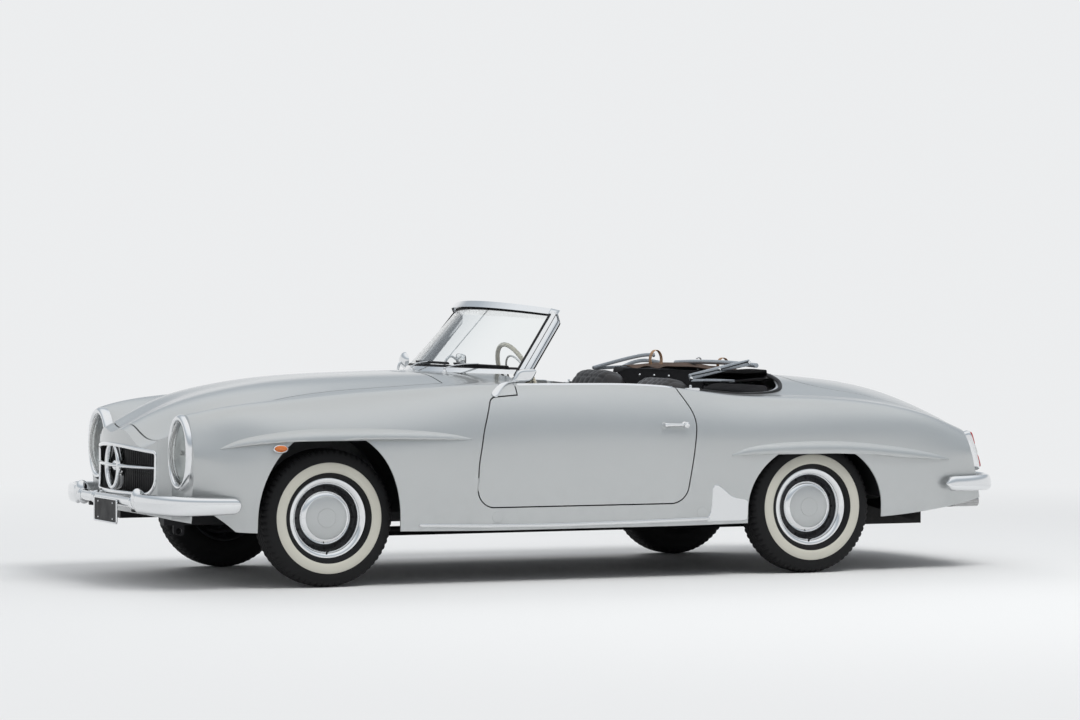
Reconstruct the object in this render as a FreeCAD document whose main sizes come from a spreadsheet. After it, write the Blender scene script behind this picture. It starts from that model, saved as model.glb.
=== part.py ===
import FreeCAD
import Part
import Sketcher
import math
import os
from FreeCAD import Placement, Rotation, Vector

# Open two-seat roadster with its soft top folded behind the seats.
# Frame: +X forward, +Y to the left of the car, +Z up, millimetres.
# The origin lies on the ground under the middle of the car's length.

doc = FreeCAD.newDocument("roadster")
sheet = doc.addObject("Spreadsheet::Sheet", "Sizes")

# Driving sizes: name, value in millimetres or degrees, what it is.
SIZES = [
    ("wheelbase", 2400, "front axle to rear axle"),
    ("front_overhang", 815, "front axle to the foremost point"),
    ("rear_overhang", 1075, "rear axle to the rearmost point"),
    ("front_track", 1430, "between the middles of the front tyres"),
    ("rear_track", 1475, "between the middles of the rear tyres"),
    ("body_width", 1740, "over the widest part of the sides"),
    ("tyre_radius", 310, "tyre, loaded"),
    ("tyre_width", 168, "tyre section"),
    ("rim_radius", 178, "rim edge"),
    ("rim_width", 132, "over the rim edges"),
    ("hub_bore_radius", 20.05, "bore of a wheel hub"),
    ("spindle_radius", 20, "stub that carries a wheel"),
    ("drum_radius", 125, "brake drum"),
    ("cap_radius", 122, "hub cap"),
    ("kingpin_offset", 95, "wheel middle to steering pivot, inboard"),
    ("kingpin_radius", 14, "steering pivot"),
    ("pin_clearance", 0.05, "radial play of a pin in its bore"),
    ("arch_front_half", 334, "front wheel opening, half length"),
    ("arch_front_top", 656, "front wheel opening, top above ground"),
    ("arch_rear_half", 350, "rear wheel opening, half length"),
    ("arch_rear_top", 562, "rear wheel opening, top above ground"),
    ("house_radius", 392, "front wheel house roof"),
    ("house_rear_radius", 352, "rear wheel house roof"),
    ("panel_wall", 8, "fenders and other fixed skin, with its flanges"),
    ("lid_wall", 20, "hood and boot lid with their inner frames"),
    ("door_wall", 70, "door with its inner trim"),
    ("shut_gap", 6, "gap round a door or lid"),
    ("floor_level", 245, "underside of the floor"),
    ("floor_wall", 12, "floor pan"),
    ("seat_half_spacing", 368, "car middle to seat middle"),
    ("seat_width", 490, "seat cushion"),
    ("steering_radius", 200, "steering wheel"),
    ("steering_rake", 22, "steering column slope, degrees"),
    ("lamp_height", 603, "headlamp middle above ground"),
    ("lamp_half_spacing", 610, "car middle to headlamp middle"),
    ("lamp_half_width", 146, "headlamp ring, half width"),
    ("lamp_half_height", 170, "headlamp ring, half height"),
    ("bumper_height", 376, "bumper middle above ground, front"),
    ("bumper_depth", 90, "bumper blade, top to bottom"),
    ("rear_bumper_height", 408, "bumper middle above ground, rear"),
    ("exhaust_radius", 26, "tail pipe"),
]
for row, (alias, value, note) in enumerate(SIZES, start=1):
    sheet.set("A%d" % row, alias)
    sheet.set("B%d" % row, str(value))
    sheet.setAlias("B%d" % row, alias)
    sheet.set("C%d" % row, note)
doc.recompute()


def size(alias):
    """The present value of a driving size."""
    return float(sheet.get(alias))


# Sizes at which the station tables below were drawn.
DRAWN = {"wheelbase": 2400.0, "front": 815.0, "rear": 1075.0, "width": 1740.0}
half_length = (size("front_overhang") + size("wheelbase") + size("rear_overhang")) / 2
front_axle = half_length - size("front_overhang")
rear_axle = size("rear_overhang") - half_length
FRONT_AXLE = "((rear_overhang + wheelbase - front_overhang) / 2)"
REAR_AXLE = "((rear_overhang - wheelbase - front_overhang) / 2)"


def along(x):
    """Stretch a drawn place along the car to the present axle places and overhangs."""
    drawn_half = (DRAWN["front"] + DRAWN["wheelbase"] + DRAWN["rear"]) / 2
    drawn_front = drawn_half - DRAWN["front"]
    drawn_rear = DRAWN["rear"] - drawn_half
    if x > drawn_front:
        return front_axle + (x - drawn_front) * size("front_overhang") / DRAWN["front"]
    if x < drawn_rear:
        return rear_axle + (x - drawn_rear) * size("rear_overhang") / DRAWN["rear"]
    return rear_axle + (x - drawn_rear) * size("wheelbase") / DRAWN["wheelbase"]


def across(y):
    """Stretch a drawn place across the car to the present body width."""
    return y * size("body_width") / DRAWN["width"]


# Document helpers: each makes one object whose sizes are bound to the sheet.

def bind(item, prop, formula):
    item.setExpression(prop, formula)


def with_sheet(formula):
    """Put the sheet's name before every size name in a formula."""
    text = str(formula)
    for alias in sorted((s[0] for s in SIZES), key=len, reverse=True):
        text = text.replace(alias, "\0%d\0" % [s[0] for s in SIZES].index(alias))
    for index, entry in enumerate(SIZES):
        text = text.replace("\0%d\0" % index, "<<Sizes>>." + entry[0])
    return text


TURNS = {
    "x": Rotation(Vector(0, 1, 0), 90),
    "y": Rotation(Vector(1, 0, 0), -90),
    "z": Rotation(),
}


def place(item, where, turn=None):
    """Give an object a turn and bind its place to three formulas."""
    item.Placement = Placement(Vector(0, 0, 0), turn or Rotation())
    for axis, formula in zip("xyz", where):
        bind(item, "Placement.Base." + axis, with_sheet(formula))


def box(name, sizes, corner):
    item = doc.addObject("Part::Box", name)
    for prop, formula in zip(("Length", "Width", "Height"), sizes):
        bind(item, prop, with_sheet(formula))
    place(item, corner)
    return item


def rod(name, radius, length, start, axis="z", turn=None):
    item = doc.addObject("Part::Cylinder", name)
    bind(item, "Radius", with_sheet(radius))
    bind(item, "Height", with_sheet(length))
    place(item, start, turn or TURNS[axis])
    return item


def ball(name, radius, centre):
    item = doc.addObject("Part::Sphere", name)
    bind(item, "Radius", with_sheet(radius))
    place(item, centre)
    return item


def ring(name, radius, bar_radius, centre, turn):
    item = doc.addObject("Part::Torus", name)
    bind(item, "Radius1", with_sheet(radius))
    bind(item, "Radius2", with_sheet(bar_radius))
    place(item, centre, turn)
    return item


def join(name, members):
    item = doc.addObject("Part::MultiFuse", name)
    item.Shapes = members
    return item


def cut(name, base, tool):
    item = doc.addObject("Part::Cut", name)
    item.Base = base
    item.Tool = tool
    return item


def common(name, members):
    item = doc.addObject("Part::MultiCommon", name)
    item.Shapes = members
    return item


def group(name, members):
    """Like pieces on one body that don't touch, kept as one sub-part."""
    item = doc.addObject("Part::Compound", name)
    item.Links = members
    return item


def mirrored(name, source):
    """The same piece on the other side of the car."""
    item = doc.addObject("Part::Mirroring", name)
    item.Source = source
    item.Normal = Vector(0, 1, 0)
    return item


def solid_of(name, shape):
    """A piece whose form no primitive has."""
    item = doc.addObject("Part::Feature", name)
    item.Shape = shape
    return item


RUNS = {"x": Vector(1, 0, 0), "y": Vector(0, 1, 0), "z": Vector(0, 0, 1)}


def spot(a, b, level, normal):
    """A point of the plane at a level along one axis. a and b lie on the other two, in order."""
    if normal == "z":
        return Vector(a, b, level)
    if normal == "y":
        return Vector(a, level, b)
    return Vector(level, a, b)


def plate(points, low, high, normal="z"):
    """Extrude a closed outline of straight sides through (a, b) points."""
    corners = [spot(a, b, low, normal) for a, b in points]
    return Part.Face(Part.makePolygon(corners + corners[:1])).extrude(RUNS[normal] * (high - low))


def smooth_plate(points, low, high, normal="z"):
    """Extrude a closed outline that is one smooth curve through (a, b) points."""
    curve = Part.BSplineCurve()
    curve.interpolate([spot(a, b, low, normal) for a, b in points], PeriodicFlag=True)
    return Part.Face(Part.Wire(curve.toShape())).extrude(RUNS[normal] * (high - low))


def corner_arc(before, corner, after, rounding, outwards, gap):
    """Start, middle and end of a rounded corner, with both its sides moved outwards by a gap."""
    run_in = (corner - before).normalize()
    run_out = (after - corner).normalize()
    turn = run_in.getAngle(run_out)
    out = Vector(run_in.y + run_out.y, -run_in.x - run_out.x, 0)
    corner = corner + out * (outwards * gap / (1 + run_in.dot(run_out)))
    if not rounding:
        return [corner]
    convex = outwards * run_in.cross(run_out).z > 0
    radius = rounding + (gap if convex else -gap)
    reach = radius * math.tan(turn / 2)
    middle = corner + (run_out - run_in).normalize() * (radius / math.cos(turn / 2) - radius)
    return [corner - run_in * reach, middle, corner + run_out * reach]


def rounded_plate(corners, low, high, normal="z", gap=0.0):
    """Extrude a closed outline of (a, b, rounding) corners, with every side moved out by a gap."""
    places = [Vector(a, b, 0) for a, b, rounding in corners]
    last = len(places)
    area = sum(places[i - 1].cross(places[i]).z for i in range(last))
    outwards = 1.0 if area > 0 else -1.0
    arcs = []
    for i, (a, b, rounding) in enumerate(corners):
        arcs.append(corner_arc(
            places[i - 1], places[i], places[(i + 1) % last], rounding, outwards, gap))
    edges = []
    for i in range(last):
        points = [spot(p.x, p.y, low, normal) for p in arcs[i]]
        if len(points) == 3:
            edges.append(Part.Arc(points[0], points[1], points[2]).toShape())
        following = arcs[(i + 1) % last][0]
        edges.append(Part.makeLine(points[-1], spot(following.x, following.y, low, normal)))
    return Part.Face(Part.Wire(edges)).extrude(RUNS[normal] * (high - low))


# The outer skin, one row for each station along the car.
# Columns: x, then y and z of the lower edge, belly, shoulder, crest, valley and
# inner shoulder of the left side, then z on the car's middle.
STATIONS = [
    (2140, 560, 340, 640, 520, 610, 630, 520, 705, 390, 610, 210, 640, 655),
    (1965, 700, 300, 768, 510, 748, 670, 625, 768, 440, 668, 240, 722, 748),
    (1795, 792, 262, 826, 470, 796, 680, 690, 808, 510, 748, 320, 796, 826),
    (1610, 838, 252, 850, 450, 824, 690, 705, 829, 550, 800, 360, 848, 875),
    (1330, 850, 250, 858, 450, 838, 700, 712, 850, 600, 848, 400, 893, 918),
    (950, 848, 246, 858, 450, 836, 715, 725, 872, 640, 876, 440, 916, 939),
    (560, 845, 240, 858, 450, 832, 730, 745, 888, 670, 898, 450, 930, 948),
    (150, 845, 240, 856, 450, 832, 735, 750, 888, 680, 898, 450, 930, 950),
    (-350, 845, 240, 856, 450, 834, 725, 756, 868, 700, 880, 450, 918, 942),
    (-700, 848, 244, 858, 450, 840, 700, 762, 826, 690, 842, 480, 885, 932),
    (-1070, 850, 250, 860, 450, 846, 690, 764, 814, 670, 826, 480, 868, 925),
    (-1463, 842, 262, 852, 450, 834, 670, 758, 784, 645, 796, 480, 836, 897),
    (-1741, 808, 288, 826, 460, 802, 630, 735, 726, 620, 738, 440, 775, 850),
    (-1955, 760, 322, 775, 480, 752, 590, 680, 652, 580, 672, 410, 710, 772),
    (-2180, 640, 370, 660, 470, 640, 540, 580, 580, 500, 595, 350, 620, 640),
]
GROUND_REACH = 60.0


def section(row, inset):
    """Points of one station from the right lower edge over the top to the left, moved inwards."""
    half = [(row[1 + 2 * i], row[2 + 2 * i]) for i in range(6)]
    full = [(-y, z) for y, z in half] + [(0.0, row[13])] + half[::-1]
    moved = []
    last = len(full) - 1
    for i, (y, z) in enumerate(full):
        y0, z0 = full[max(i - 1, 0)]
        y1, z1 = full[min(i + 1, last)]
        run = math.hypot(y1 - y0, z1 - z0)
        inward_y = (z1 - z0) / run
        inward_z = -(y1 - y0) / run
        moved.append((y + inset * inward_y, z + inset * inward_z))
    if inset:
        moved[0] = (moved[0][0], moved[0][1] - GROUND_REACH)
        moved[-1] = (moved[-1][0], moved[-1][1] - GROUND_REACH)
    return [Vector(along(row[0]), across(y), z) for y, z in moved]


def spline_poles(points, places):
    """Control points of the smooth cubic curve through points at the given parameter places."""
    last = len(points) - 1
    gaps = [places[i + 1] - places[i] for i in range(last)]
    upper = [0.0] * (last + 1)
    slopes = [Vector()] * (last + 1)
    upper[0] = 0.5
    slopes[0] = (points[1] - points[0]) * (1.5 / gaps[0])
    for i in range(1, last):
        before, after = gaps[i - 1], gaps[i]
        pull = (points[i] - points[i - 1]) * (3 * after / before)
        pull = pull + (points[i + 1] - points[i]) * (3 * before / after)
        divisor = 2 * (before + after) - after * upper[i - 1]
        upper[i] = before / divisor
        slopes[i] = (pull - slopes[i - 1] * after) * (1 / divisor)
    end = (points[last] - points[last - 1]) * (3 / gaps[-1])
    slopes[last] = (end - slopes[last - 1]) * (1 / (2 - upper[last - 1]))
    for i in range(last - 1, -1, -1):
        slopes[i] = slopes[i] - slopes[i + 1] * upper[i]
    poles = [points[0], points[0] + slopes[0] * (gaps[0] / 3)]
    for i in range(1, last):
        poles.append(points[i] - slopes[i] * (gaps[i - 1] / 3))
        poles.append(points[i] + slopes[i] * (gaps[i] / 3))
    poles.append(points[last] - slopes[last] * (gaps[-1] / 3))
    poles.append(points[last])
    return poles


def smooth_surface(grid, places_u, places_v):
    """Smooth cubic surface through a grid of points."""
    rows = [spline_poles(row, places_v) for row in grid]
    columns = [spline_poles(list(column), places_u) for column in zip(*rows)]
    poles = [list(row) for row in zip(*columns)]
    ends_u = [4] + [2] * (len(places_u) - 2) + [4]
    ends_v = [4] + [2] * (len(places_v) - 2) + [4]
    surface = Part.BSplineSurface()
    surface.buildFromPolesMultsKnots(
        poles, ends_u, ends_v, places_u, places_v, False, False, 3, 3)
    return surface


# Places of the section's points round the skin, near their real spacing, from the middle outwards.
ROUND_PLACES = (0.0, 4.3, 6.5, 7.7, 9.3, 11.9, 14.2)


def body_form(inset):
    """Closed solid inside the outer skin, all of it inset from the skin by one wall."""
    grid = [section(row, inset) for row in STATIONS]
    places_u = [(STATIONS[0][0] - row[0]) / 100.0 for row in STATIONS]
    places_v = [-p for p in ROUND_PLACES[:0:-1]] + list(ROUND_PLACES)
    skin = smooth_surface(grid, places_u, places_v)
    u0, u1, v0, v1 = skin.bounds()
    front = skin.uIso(u0).toShape()
    back = skin.uIso(u1).toShape()
    right = skin.vIso(v0).toShape()
    left = skin.vIso(v1).toShape()
    under = Part.makeRuledSurface(right, left)
    front_line = Part.makeLine(grid[0][-1], grid[0][0])
    back_line = Part.makeLine(grid[-1][-1], grid[-1][0])
    faces = [
        skin.toShape(),
        under,
        Part.Face(Part.Wire([front, front_line])),
        Part.Face(Part.Wire([back, back_line])),
    ]
    shell = Part.Shell(faces)
    shell.sewShape()
    form = Part.Solid(shell)
    form.fix(0.01, 0.01, 0.01)
    if form.Volume < 0:
        form.reverse()
    return form


LAMP_PLANE = 1955.0
NOSE_TIP = 2095.0
GRILLE_HALF_WIDTH = 434.0
LAMP_STEP = 24.0
NOSE_EDGE = 2015.0
TAIL_TIP = -2196.0
TAIL_SIDE = -2099.0
TAIL_LEAN = 300.0
BEYOND = 400.0
# Where the panel below the grille starts to slope back, and its foot: x and z.
VALENCE_TOP = (2085.0, 420.0)
VALENCE_FOOT = (1985.0, 200.0)


def nose_cutter(inset):
    """What lies ahead of the front: an arc over the grille, flat at the lamps."""
    tip = along(NOSE_TIP) - inset
    edge = along(NOSE_EDGE) - inset
    lamp = along(LAMP_PLANE) - inset
    wide = across(GRILLE_HALF_WIDTH)
    outer = across(DRAWN["width"])
    far = tip + BEYOND
    arc = Part.Arc(Vector(edge, -wide, 0), Vector(tip, 0, 0), Vector(edge, wide, 0)).toShape()
    rest = Part.makePolygon([
        Vector(edge, wide, 0),
        Vector(lamp, wide + LAMP_STEP, 0),
        Vector(lamp, outer, 0),
        Vector(far, outer, 0),
        Vector(far, -outer, 0),
        Vector(lamp, -outer, 0),
        Vector(lamp, -wide - LAMP_STEP, 0),
        Vector(edge, -wide, 0),
    ])
    front = Part.Face(Part.Wire([arc] + rest.Edges)).extrude(Vector(0, 0, 1200))
    under = plate([
        (along(VALENCE_TOP[0]) - inset, VALENCE_TOP[1]),
        (along(VALENCE_FOOT[0]) - inset, VALENCE_FOOT[1]),
        (far, VALENCE_FOOT[1]),
        (far, VALENCE_TOP[1]),
    ], -outer, outer, "y")
    return front.fuse(under)


def tail_cutter(inset):
    """What lies behind the tail: one arc in plan."""
    tip = along(TAIL_TIP) + inset
    side = along(TAIL_SIDE) + inset
    wide = across(690.0)
    outer = across(DRAWN["width"])
    sag = tip - side
    far = tip - BEYOND
    out_x = tip - sag * (outer / wide) ** 2
    arc = Part.Arc(Vector(out_x, -outer, 0), Vector(tip, 0, 0), Vector(out_x, outer, 0)).toShape()
    rest = Part.makePolygon([
        Vector(out_x, outer, 0),
        Vector(out_x, outer + 10, 0),
        Vector(far, outer + 10, 0),
        Vector(far, -outer - 10, 0),
        Vector(out_x, -outer - 10, 0),
        Vector(out_x, -outer, 0),
    ])
    return Part.Face(Part.Wire([arc] + rest.Edges)).extrude(Vector(TAIL_LEAN, 0, 1200))


def trimmed_form(inset):
    """The closed form with its nose and tail cut to their real outline."""
    return body_form(inset).cut(nose_cutter(inset)).cut(tail_cutter(inset))


# Closed forms that the panels are cut from.
TALL = 1200.0
skin = solid_of("skin_form", trimmed_form(0.0))
inside = solid_of("inside_form", trimmed_form(size("panel_wall")))
lid_inside = solid_of("lid_inside_form", trimmed_form(size("lid_wall")))
door_inside = solid_of("door_inside_form", trimmed_form(size("door_wall")))
fixed_shell = cut("fixed_shell", skin, inside)
lid_shell = cut("lid_shell", skin, lid_inside)
door_shell = cut("door_shell", skin, door_inside)

# Door outline seen from the side, from the front top corner downwards: x, z and rounding.
DOOR_OUTLINE = [
    (409, 905, 0), (412, 847, 0), (545, 837, 34), (600, 690, 450), (631.6, 540, 450), (636.5, 346.5, 80),
    (-400, 346.5, 86), (-464, 735, 170), (-399, 856, 90), (-390, 905, 0),
]


def stretched(points):
    """Outline in x and z at the present length. What follows in a point stays as it is."""
    return [(along(point[0]),) + tuple(point[1:]) for point in points]


def plan(points):
    """Outline in x and y at the present length and width. What follows in a point stays as it is."""
    return [(along(point[0]), across(point[1])) + tuple(point[2:]) for point in points]


def both_sides(points):
    """A half outline in x and y, from the middle of the car outwards, closed by its mirror."""
    return points + [(point[0], -point[1]) + tuple(point[2:]) for point in points[::-1] if point[1] > 0]


door_outline = stretched(DOOR_OUTLINE)
DOOR_INNER = 696.0
SIDE_REACH = 1000.0
shut_gap = size("shut_gap")
door_region = solid_of("door_region", rounded_plate(door_outline, across(DOOR_INNER), SIDE_REACH, "y"))
door_clear = solid_of("door_clearance", rounded_plate(
    door_outline, across(DOOR_INNER) - shut_gap, SIDE_REACH, "y", shut_gap))

# Plan outlines of the openings, half of each from the middle outwards: x, y and rounding.
HOOD_OUTLINE = [
    (2052, 60, 500), (2030, 250, 260), (1940, 375, 150), (1620, 462, 1500), (1250, 528, 2500),
    (700, 566, 0),
]
BOOT_OUTLINE = [
    (-1215, 490, 180), (-1560, 487, 900), (-2008, 412, 100), (-2020, 100, 400),
]
COCKPIT_OUTLINE = [
    (330, 696, 0), (-470, 694, 600), (-1020, 565, 250), (-1150, 230, 400),
]
LID_FLOOR = 560.0
hood_outline = both_sides(plan(HOOD_OUTLINE))
boot_outline = both_sides(plan(BOOT_OUTLINE))
cockpit_outline = both_sides(plan(COCKPIT_OUTLINE))
hood_region = solid_of("hood_region", rounded_plate(hood_outline, LID_FLOOR, TALL))
hood_clear = solid_of("hood_clearance", rounded_plate(hood_outline, LID_FLOOR, TALL, "z", shut_gap))
boot_region = solid_of("boot_region", rounded_plate(boot_outline, LID_FLOOR, TALL))
boot_clear = solid_of("boot_clearance", rounded_plate(boot_outline, LID_FLOOR, TALL, "z", shut_gap))
cockpit = solid_of("cockpit_region", rounded_plate(cockpit_outline, 300, TALL))

# Zones where the fixed panels meet.
COWL_FRONT = 700.0
zones = {
    "front": (300, 2400, 0, 1000, 0, TALL),
    "rear": (-2400, -270, 0, 1000, 0, TALL),
    "nose": (1790, 2400, -459, 459, 0, TALL),
    "cowl": (300, COWL_FRONT, -650, 650, 500, TALL),
    "deck": (-2400, -270, -650, 650, 0, TALL),
    "sill": (-440, 640, 0, 1000, 0, 341),
}


def zone(name):
    x0, x1, y0, y1, z0, z1 = zones[name]
    low = Vector(along(x0), across(y0), z0)
    span = (along(x1) - along(x0), across(y1) - across(y0), z1 - z0)
    return solid_of("zone_" + name, Part.makeBox(span[0], span[1], span[2], low))


zone_items = {name: zone(name) for name in zones}


def arch_region(name, axle, half, top, tall):
    """Wheel opening of the left side: an ellipse cut flat under the brow."""
    middle = Vector(axle, across(500.0), size("tyre_radius"))
    curve = Part.Ellipse(
        middle + Vector(0, 0, tall), middle + Vector(half, 0, 0), middle) if tall > half else (
        Part.Ellipse(middle + Vector(half, 0, 0), middle + Vector(0, 0, tall), middle))
    form = Part.Face(Part.Wire(curve.toShape())).extrude(Vector(0, 600, 0))
    form = form.common(Part.makeBox(4000, 1200, top, Vector(axle - 2000, 0, 0)))
    legs = Part.makeBox(2 * half, 600, size("tyre_radius"),
                        Vector(axle - half, across(500.0), 0))
    return solid_of(name, form.fuse(legs))


front_arch = arch_region(
    "front_arch", front_axle + 14, size("arch_front_half"), size("arch_front_top"), 400.0)
rear_arch = arch_region(
    "rear_arch", rear_axle, size("arch_rear_half"), size("arch_rear_top"), 306.0)

def crown(x, y=0.0):
    """Height of the skin at a drawn place along the car and across it."""
    low = Vector(along(x), across(y), 500)
    return skin.Shape.common(Part.makeLine(low, low + Vector(0, 0, TALL))).BoundBox.ZMax


def flank(x, z):
    """Half width of the skin at a drawn place along the car and a height."""
    inner = Vector(along(x), 400, z)
    return skin.Shape.common(Part.makeLine(inner, inner + Vector(0, SIDE_REACH, 0))).BoundBox.YMax


# Brows over the wheel openings: x, heights of the crisp lower edge and of the upper edge
# that runs into the fender, and how far the lower edge stands out.
FRONT_BROW = [
    (1843, 625, 630, 2), (1771, 635, 662, 10), (1650, 648, 689, 17), (1480, 657, 708, 21),
    (1294, 660, 713, 22), (1100, 661, 709, 21), (930, 658, 699, 17), (800, 655, 686, 11),
    (669, 652, 660, 2),
]
REAR_BROW = [
    (-632, 560, 566, 2), (-704, 561, 596, 9), (-831, 564, 615, 16), (-1044, 565, 623, 20),
    (-1258, 559, 617, 21), (-1475, 543, 594, 18), (-1694, 526, 558, 11), (-1800, 519, 528, 2),
]
BROW_ROOT = 4.0
BROW_SWELL = 0.22


def brow(name, stations):
    """A crescent blade on the fender: full above, crisp below, running out at both ends."""
    wires = []
    for x, low, high, proud in stations:
        y_low = flank(x, low)
        y_high = flank(x, high) - BROW_ROOT
        top = Vector(along(x), y_high, high)
        edge = Vector(along(x), y_low + proud, low)
        root = Vector(along(x), y_low - BROW_ROOT, low)
        swell = Vector(0, proud, high - low) * BROW_SWELL
        upper = Part.Arc(top, (top + edge) * 0.5 + swell, edge).toShape()
        wires.append(Part.Wire([upper, Part.makeLine(edge, root), Part.makeLine(root, top)]))
    return solid_of(name, Part.makeLoft(wires, True, False))


def panel(name, shell, zone_name, tools, extra=()):
    """A piece of the shell inside one zone, less what its neighbours and openings take."""
    piece = common(name + "_blank", [shell, zone_items[zone_name]])
    removed = join(name + "_removed", tools) if len(tools) > 1 else tools[0]
    trimmed = cut(name + "_trimmed", piece, removed)
    if extra:
        return join(name, [trimmed] + list(extra))
    return trimmed


pieces = []


def sub_part(label, item):
    item.Label = label
    pieces.append(item)
    return item


BARREL = 2.5
HOOD_AXIS = 697.0
BOOT_AXIS = -1212.0
DOOR_AXIS = 637.0
BELLY = 450.0


def barrel_outline(a, b):
    """Eight-sided outline of a hinge barrel round one point."""
    turns = [math.radians(22.5 + 45 * i) for i in range(8)]
    return [(a + BARREL * math.cos(t), b + BARREL * math.sin(t)) for t in turns]


def lid_barrel(name, x, panel_side):
    """Hinge barrel in the shut gap on the crown, with its leaf let into the fixed panel."""
    top = crown(x) - 0.5
    barrel = plate(barrel_outline(along(x), top), -100, 100, "y")
    leaf = Part.makeBox(10, 160, 4, Vector(min(along(x), along(x) + 10 * panel_side), -80, top - 6))
    neck = Part.makeBox(2, 160, 6, Vector(along(x) - 1, -80, top - 6))
    return solid_of(name, barrel.fuse([leaf, neck]))


def door_barrel(name):
    """Upright hinge barrel in the shut gap at the widest line, with its leaf in the fender."""
    y = flank(DOOR_AXIS, BELLY) - 0.5
    barrel = plate(barrel_outline(along(DOOR_AXIS), y), BELLY - 30, BELLY + 30)
    leaf = Part.makeBox(10, 4, 40, Vector(along(DOOR_AXIS), y - 6, BELLY - 20))
    neck = Part.makeBox(2, 6, 40, Vector(along(DOOR_AXIS) - 1, y - 6, BELLY - 20))
    return solid_of(name, barrel.fuse([leaf, neck]))


front_brow = brow("front_brow", FRONT_BROW)
rear_brow = brow("rear_brow", REAR_BROW)
fender = panel("front_fender", fixed_shell, "front", [
    zone_items["nose"], zone_items["cowl"], zone_items["sill"],
    hood_clear, door_clear, front_arch, cockpit], [front_brow, door_barrel("door_barrel")])
sub_part("front_fenders", group("front_fender_pair", [fender, mirrored("front_fender_mirror", fender)]))
quarter = panel("rear_fender", fixed_shell, "rear", [
    zone_items["deck"], zone_items["sill"], door_clear, rear_arch, cockpit], [rear_brow])
sub_part("rear_fenders", group("rear_fender_pair", [quarter, mirrored("rear_fender_mirror", quarter)]))
sill = panel("sill", fixed_shell, "sill", [door_clear])
sub_part("sills", group("sill_pair", [sill, mirrored("sill_mirror", sill)]))

# Grille opening, seen from the front, its left half from the top: y, z and rounding.
GRILLE_OUTLINE = [(0, 642, 2500), (430, 604, 18), (424, 404, 80)]
grille_outline = [(across(y), z, rounding) for y, z, rounding in GRILLE_OUTLINE]
grille_outline += [(-y, z, rounding) for y, z, rounding in grille_outline[::-1] if y > 0]
grille_opening = solid_of(
    "grille_opening", rounded_plate(grille_outline, along(1850), along(2300), "x"))


def arm_rooms(name, x0, x1, y, low):
    """Cut-outs where the bumper arms pass through a panel."""
    rooms = [Part.makeBox(x1 - x0, 36, 46, Vector(x0, side * y - 18, low - 3)) for side in (1, -1)]
    return solid_of(name, Part.makeCompound(rooms))


front_rooms = arm_rooms(
    "front_arm_rooms", along(1960.0), along(2140.0), across(330.0), size("bumper_height") - 60)
rear_rooms = arm_rooms(
    "rear_arm_rooms", along(-2200.0), along(-2010.0), across(500.0), size("rear_bumper_height") - 20)
sub_part("nose_panel", panel(
    "nose", fixed_shell, "nose", [hood_clear, grille_opening, front_rooms]))

sub_part("cowl_panel", panel(
    "cowl", fixed_shell, "cowl", [hood_clear, cockpit], [lid_barrel("hood_barrel", HOOD_AXIS, -1)]))
sub_part("rear_deck_panel", panel(
    "deck", fixed_shell, "deck", [boot_clear, cockpit, rear_rooms],
    [lid_barrel("boot_barrel", BOOT_AXIS, 1)]))
sub_part("hood", common("hood_piece", [lid_shell, hood_region]))
sub_part("trunk_lid", common("boot_lid_piece", [lid_shell, boot_region]))

door_blank = common("door_blank", [door_shell, door_region])
door_trimmed = cut("door_trimmed", door_blank, cockpit)

# Belt strip along the top of the door, and the handle: places x, heights and offsets.
BELT_PLACES = (398.0, 250.0, 100.0, -50.0, -200.0, -320.0, -382.0)
BELT_SIDE = 738.0
BELT_SECTION = [(-7, -6), (-6, 2), (-3, 5), (3, 5), (6, 2), (7, -6)]
HANDLE_PIVOT = (-297.0, 706.0)
HANDLE_LENGTH = 104.0
HANDLE_STAND = 22.0


def belt_strip():
    """A moulding let into the skin along the top of the door, lofted through its sections."""
    wires = []
    for x in BELT_PLACES:
        middle = Vector(along(x), across(BELT_SIDE), crown(x, BELT_SIDE))
        corners = [middle + Vector(0, a, b) for a, b in BELT_SECTION]
        wires.append(Part.makePolygon(corners + corners[:1]))
    return Part.makeLoft(wires, True, False)


def door_handle():
    """A lever on a round boss, turned round its own length."""
    x, z = HANDLE_PIVOT
    y = flank(x, z)
    boss = Part.makeCone(13, 9, HANDLE_STAND + 4, Vector(along(x), y - 4, z), RUNS["y"])
    profile = [(0, 0), (9.5, 4), (10, 12), (8, 26), (6, HANDLE_LENGTH - 6), (3, HANDLE_LENGTH), (0, HANDLE_LENGTH)]
    stem = Vector(along(x) + 12, y + HANDLE_STAND, z)
    outline = [stem + Vector(-run, radius, 0) for radius, run in profile]
    lever = Part.Face(Part.makePolygon(outline + outline[:1])).revolve(stem, RUNS["x"], 360)
    return boss.fuse(lever)


door_piece = join("door_piece", [
    door_trimmed, solid_of("belt_strip", belt_strip()), solid_of("door_handle", door_handle())])
sub_part("door_left", door_piece)
sub_part("door_right", mirrored("door_mirror", door_piece))

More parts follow.
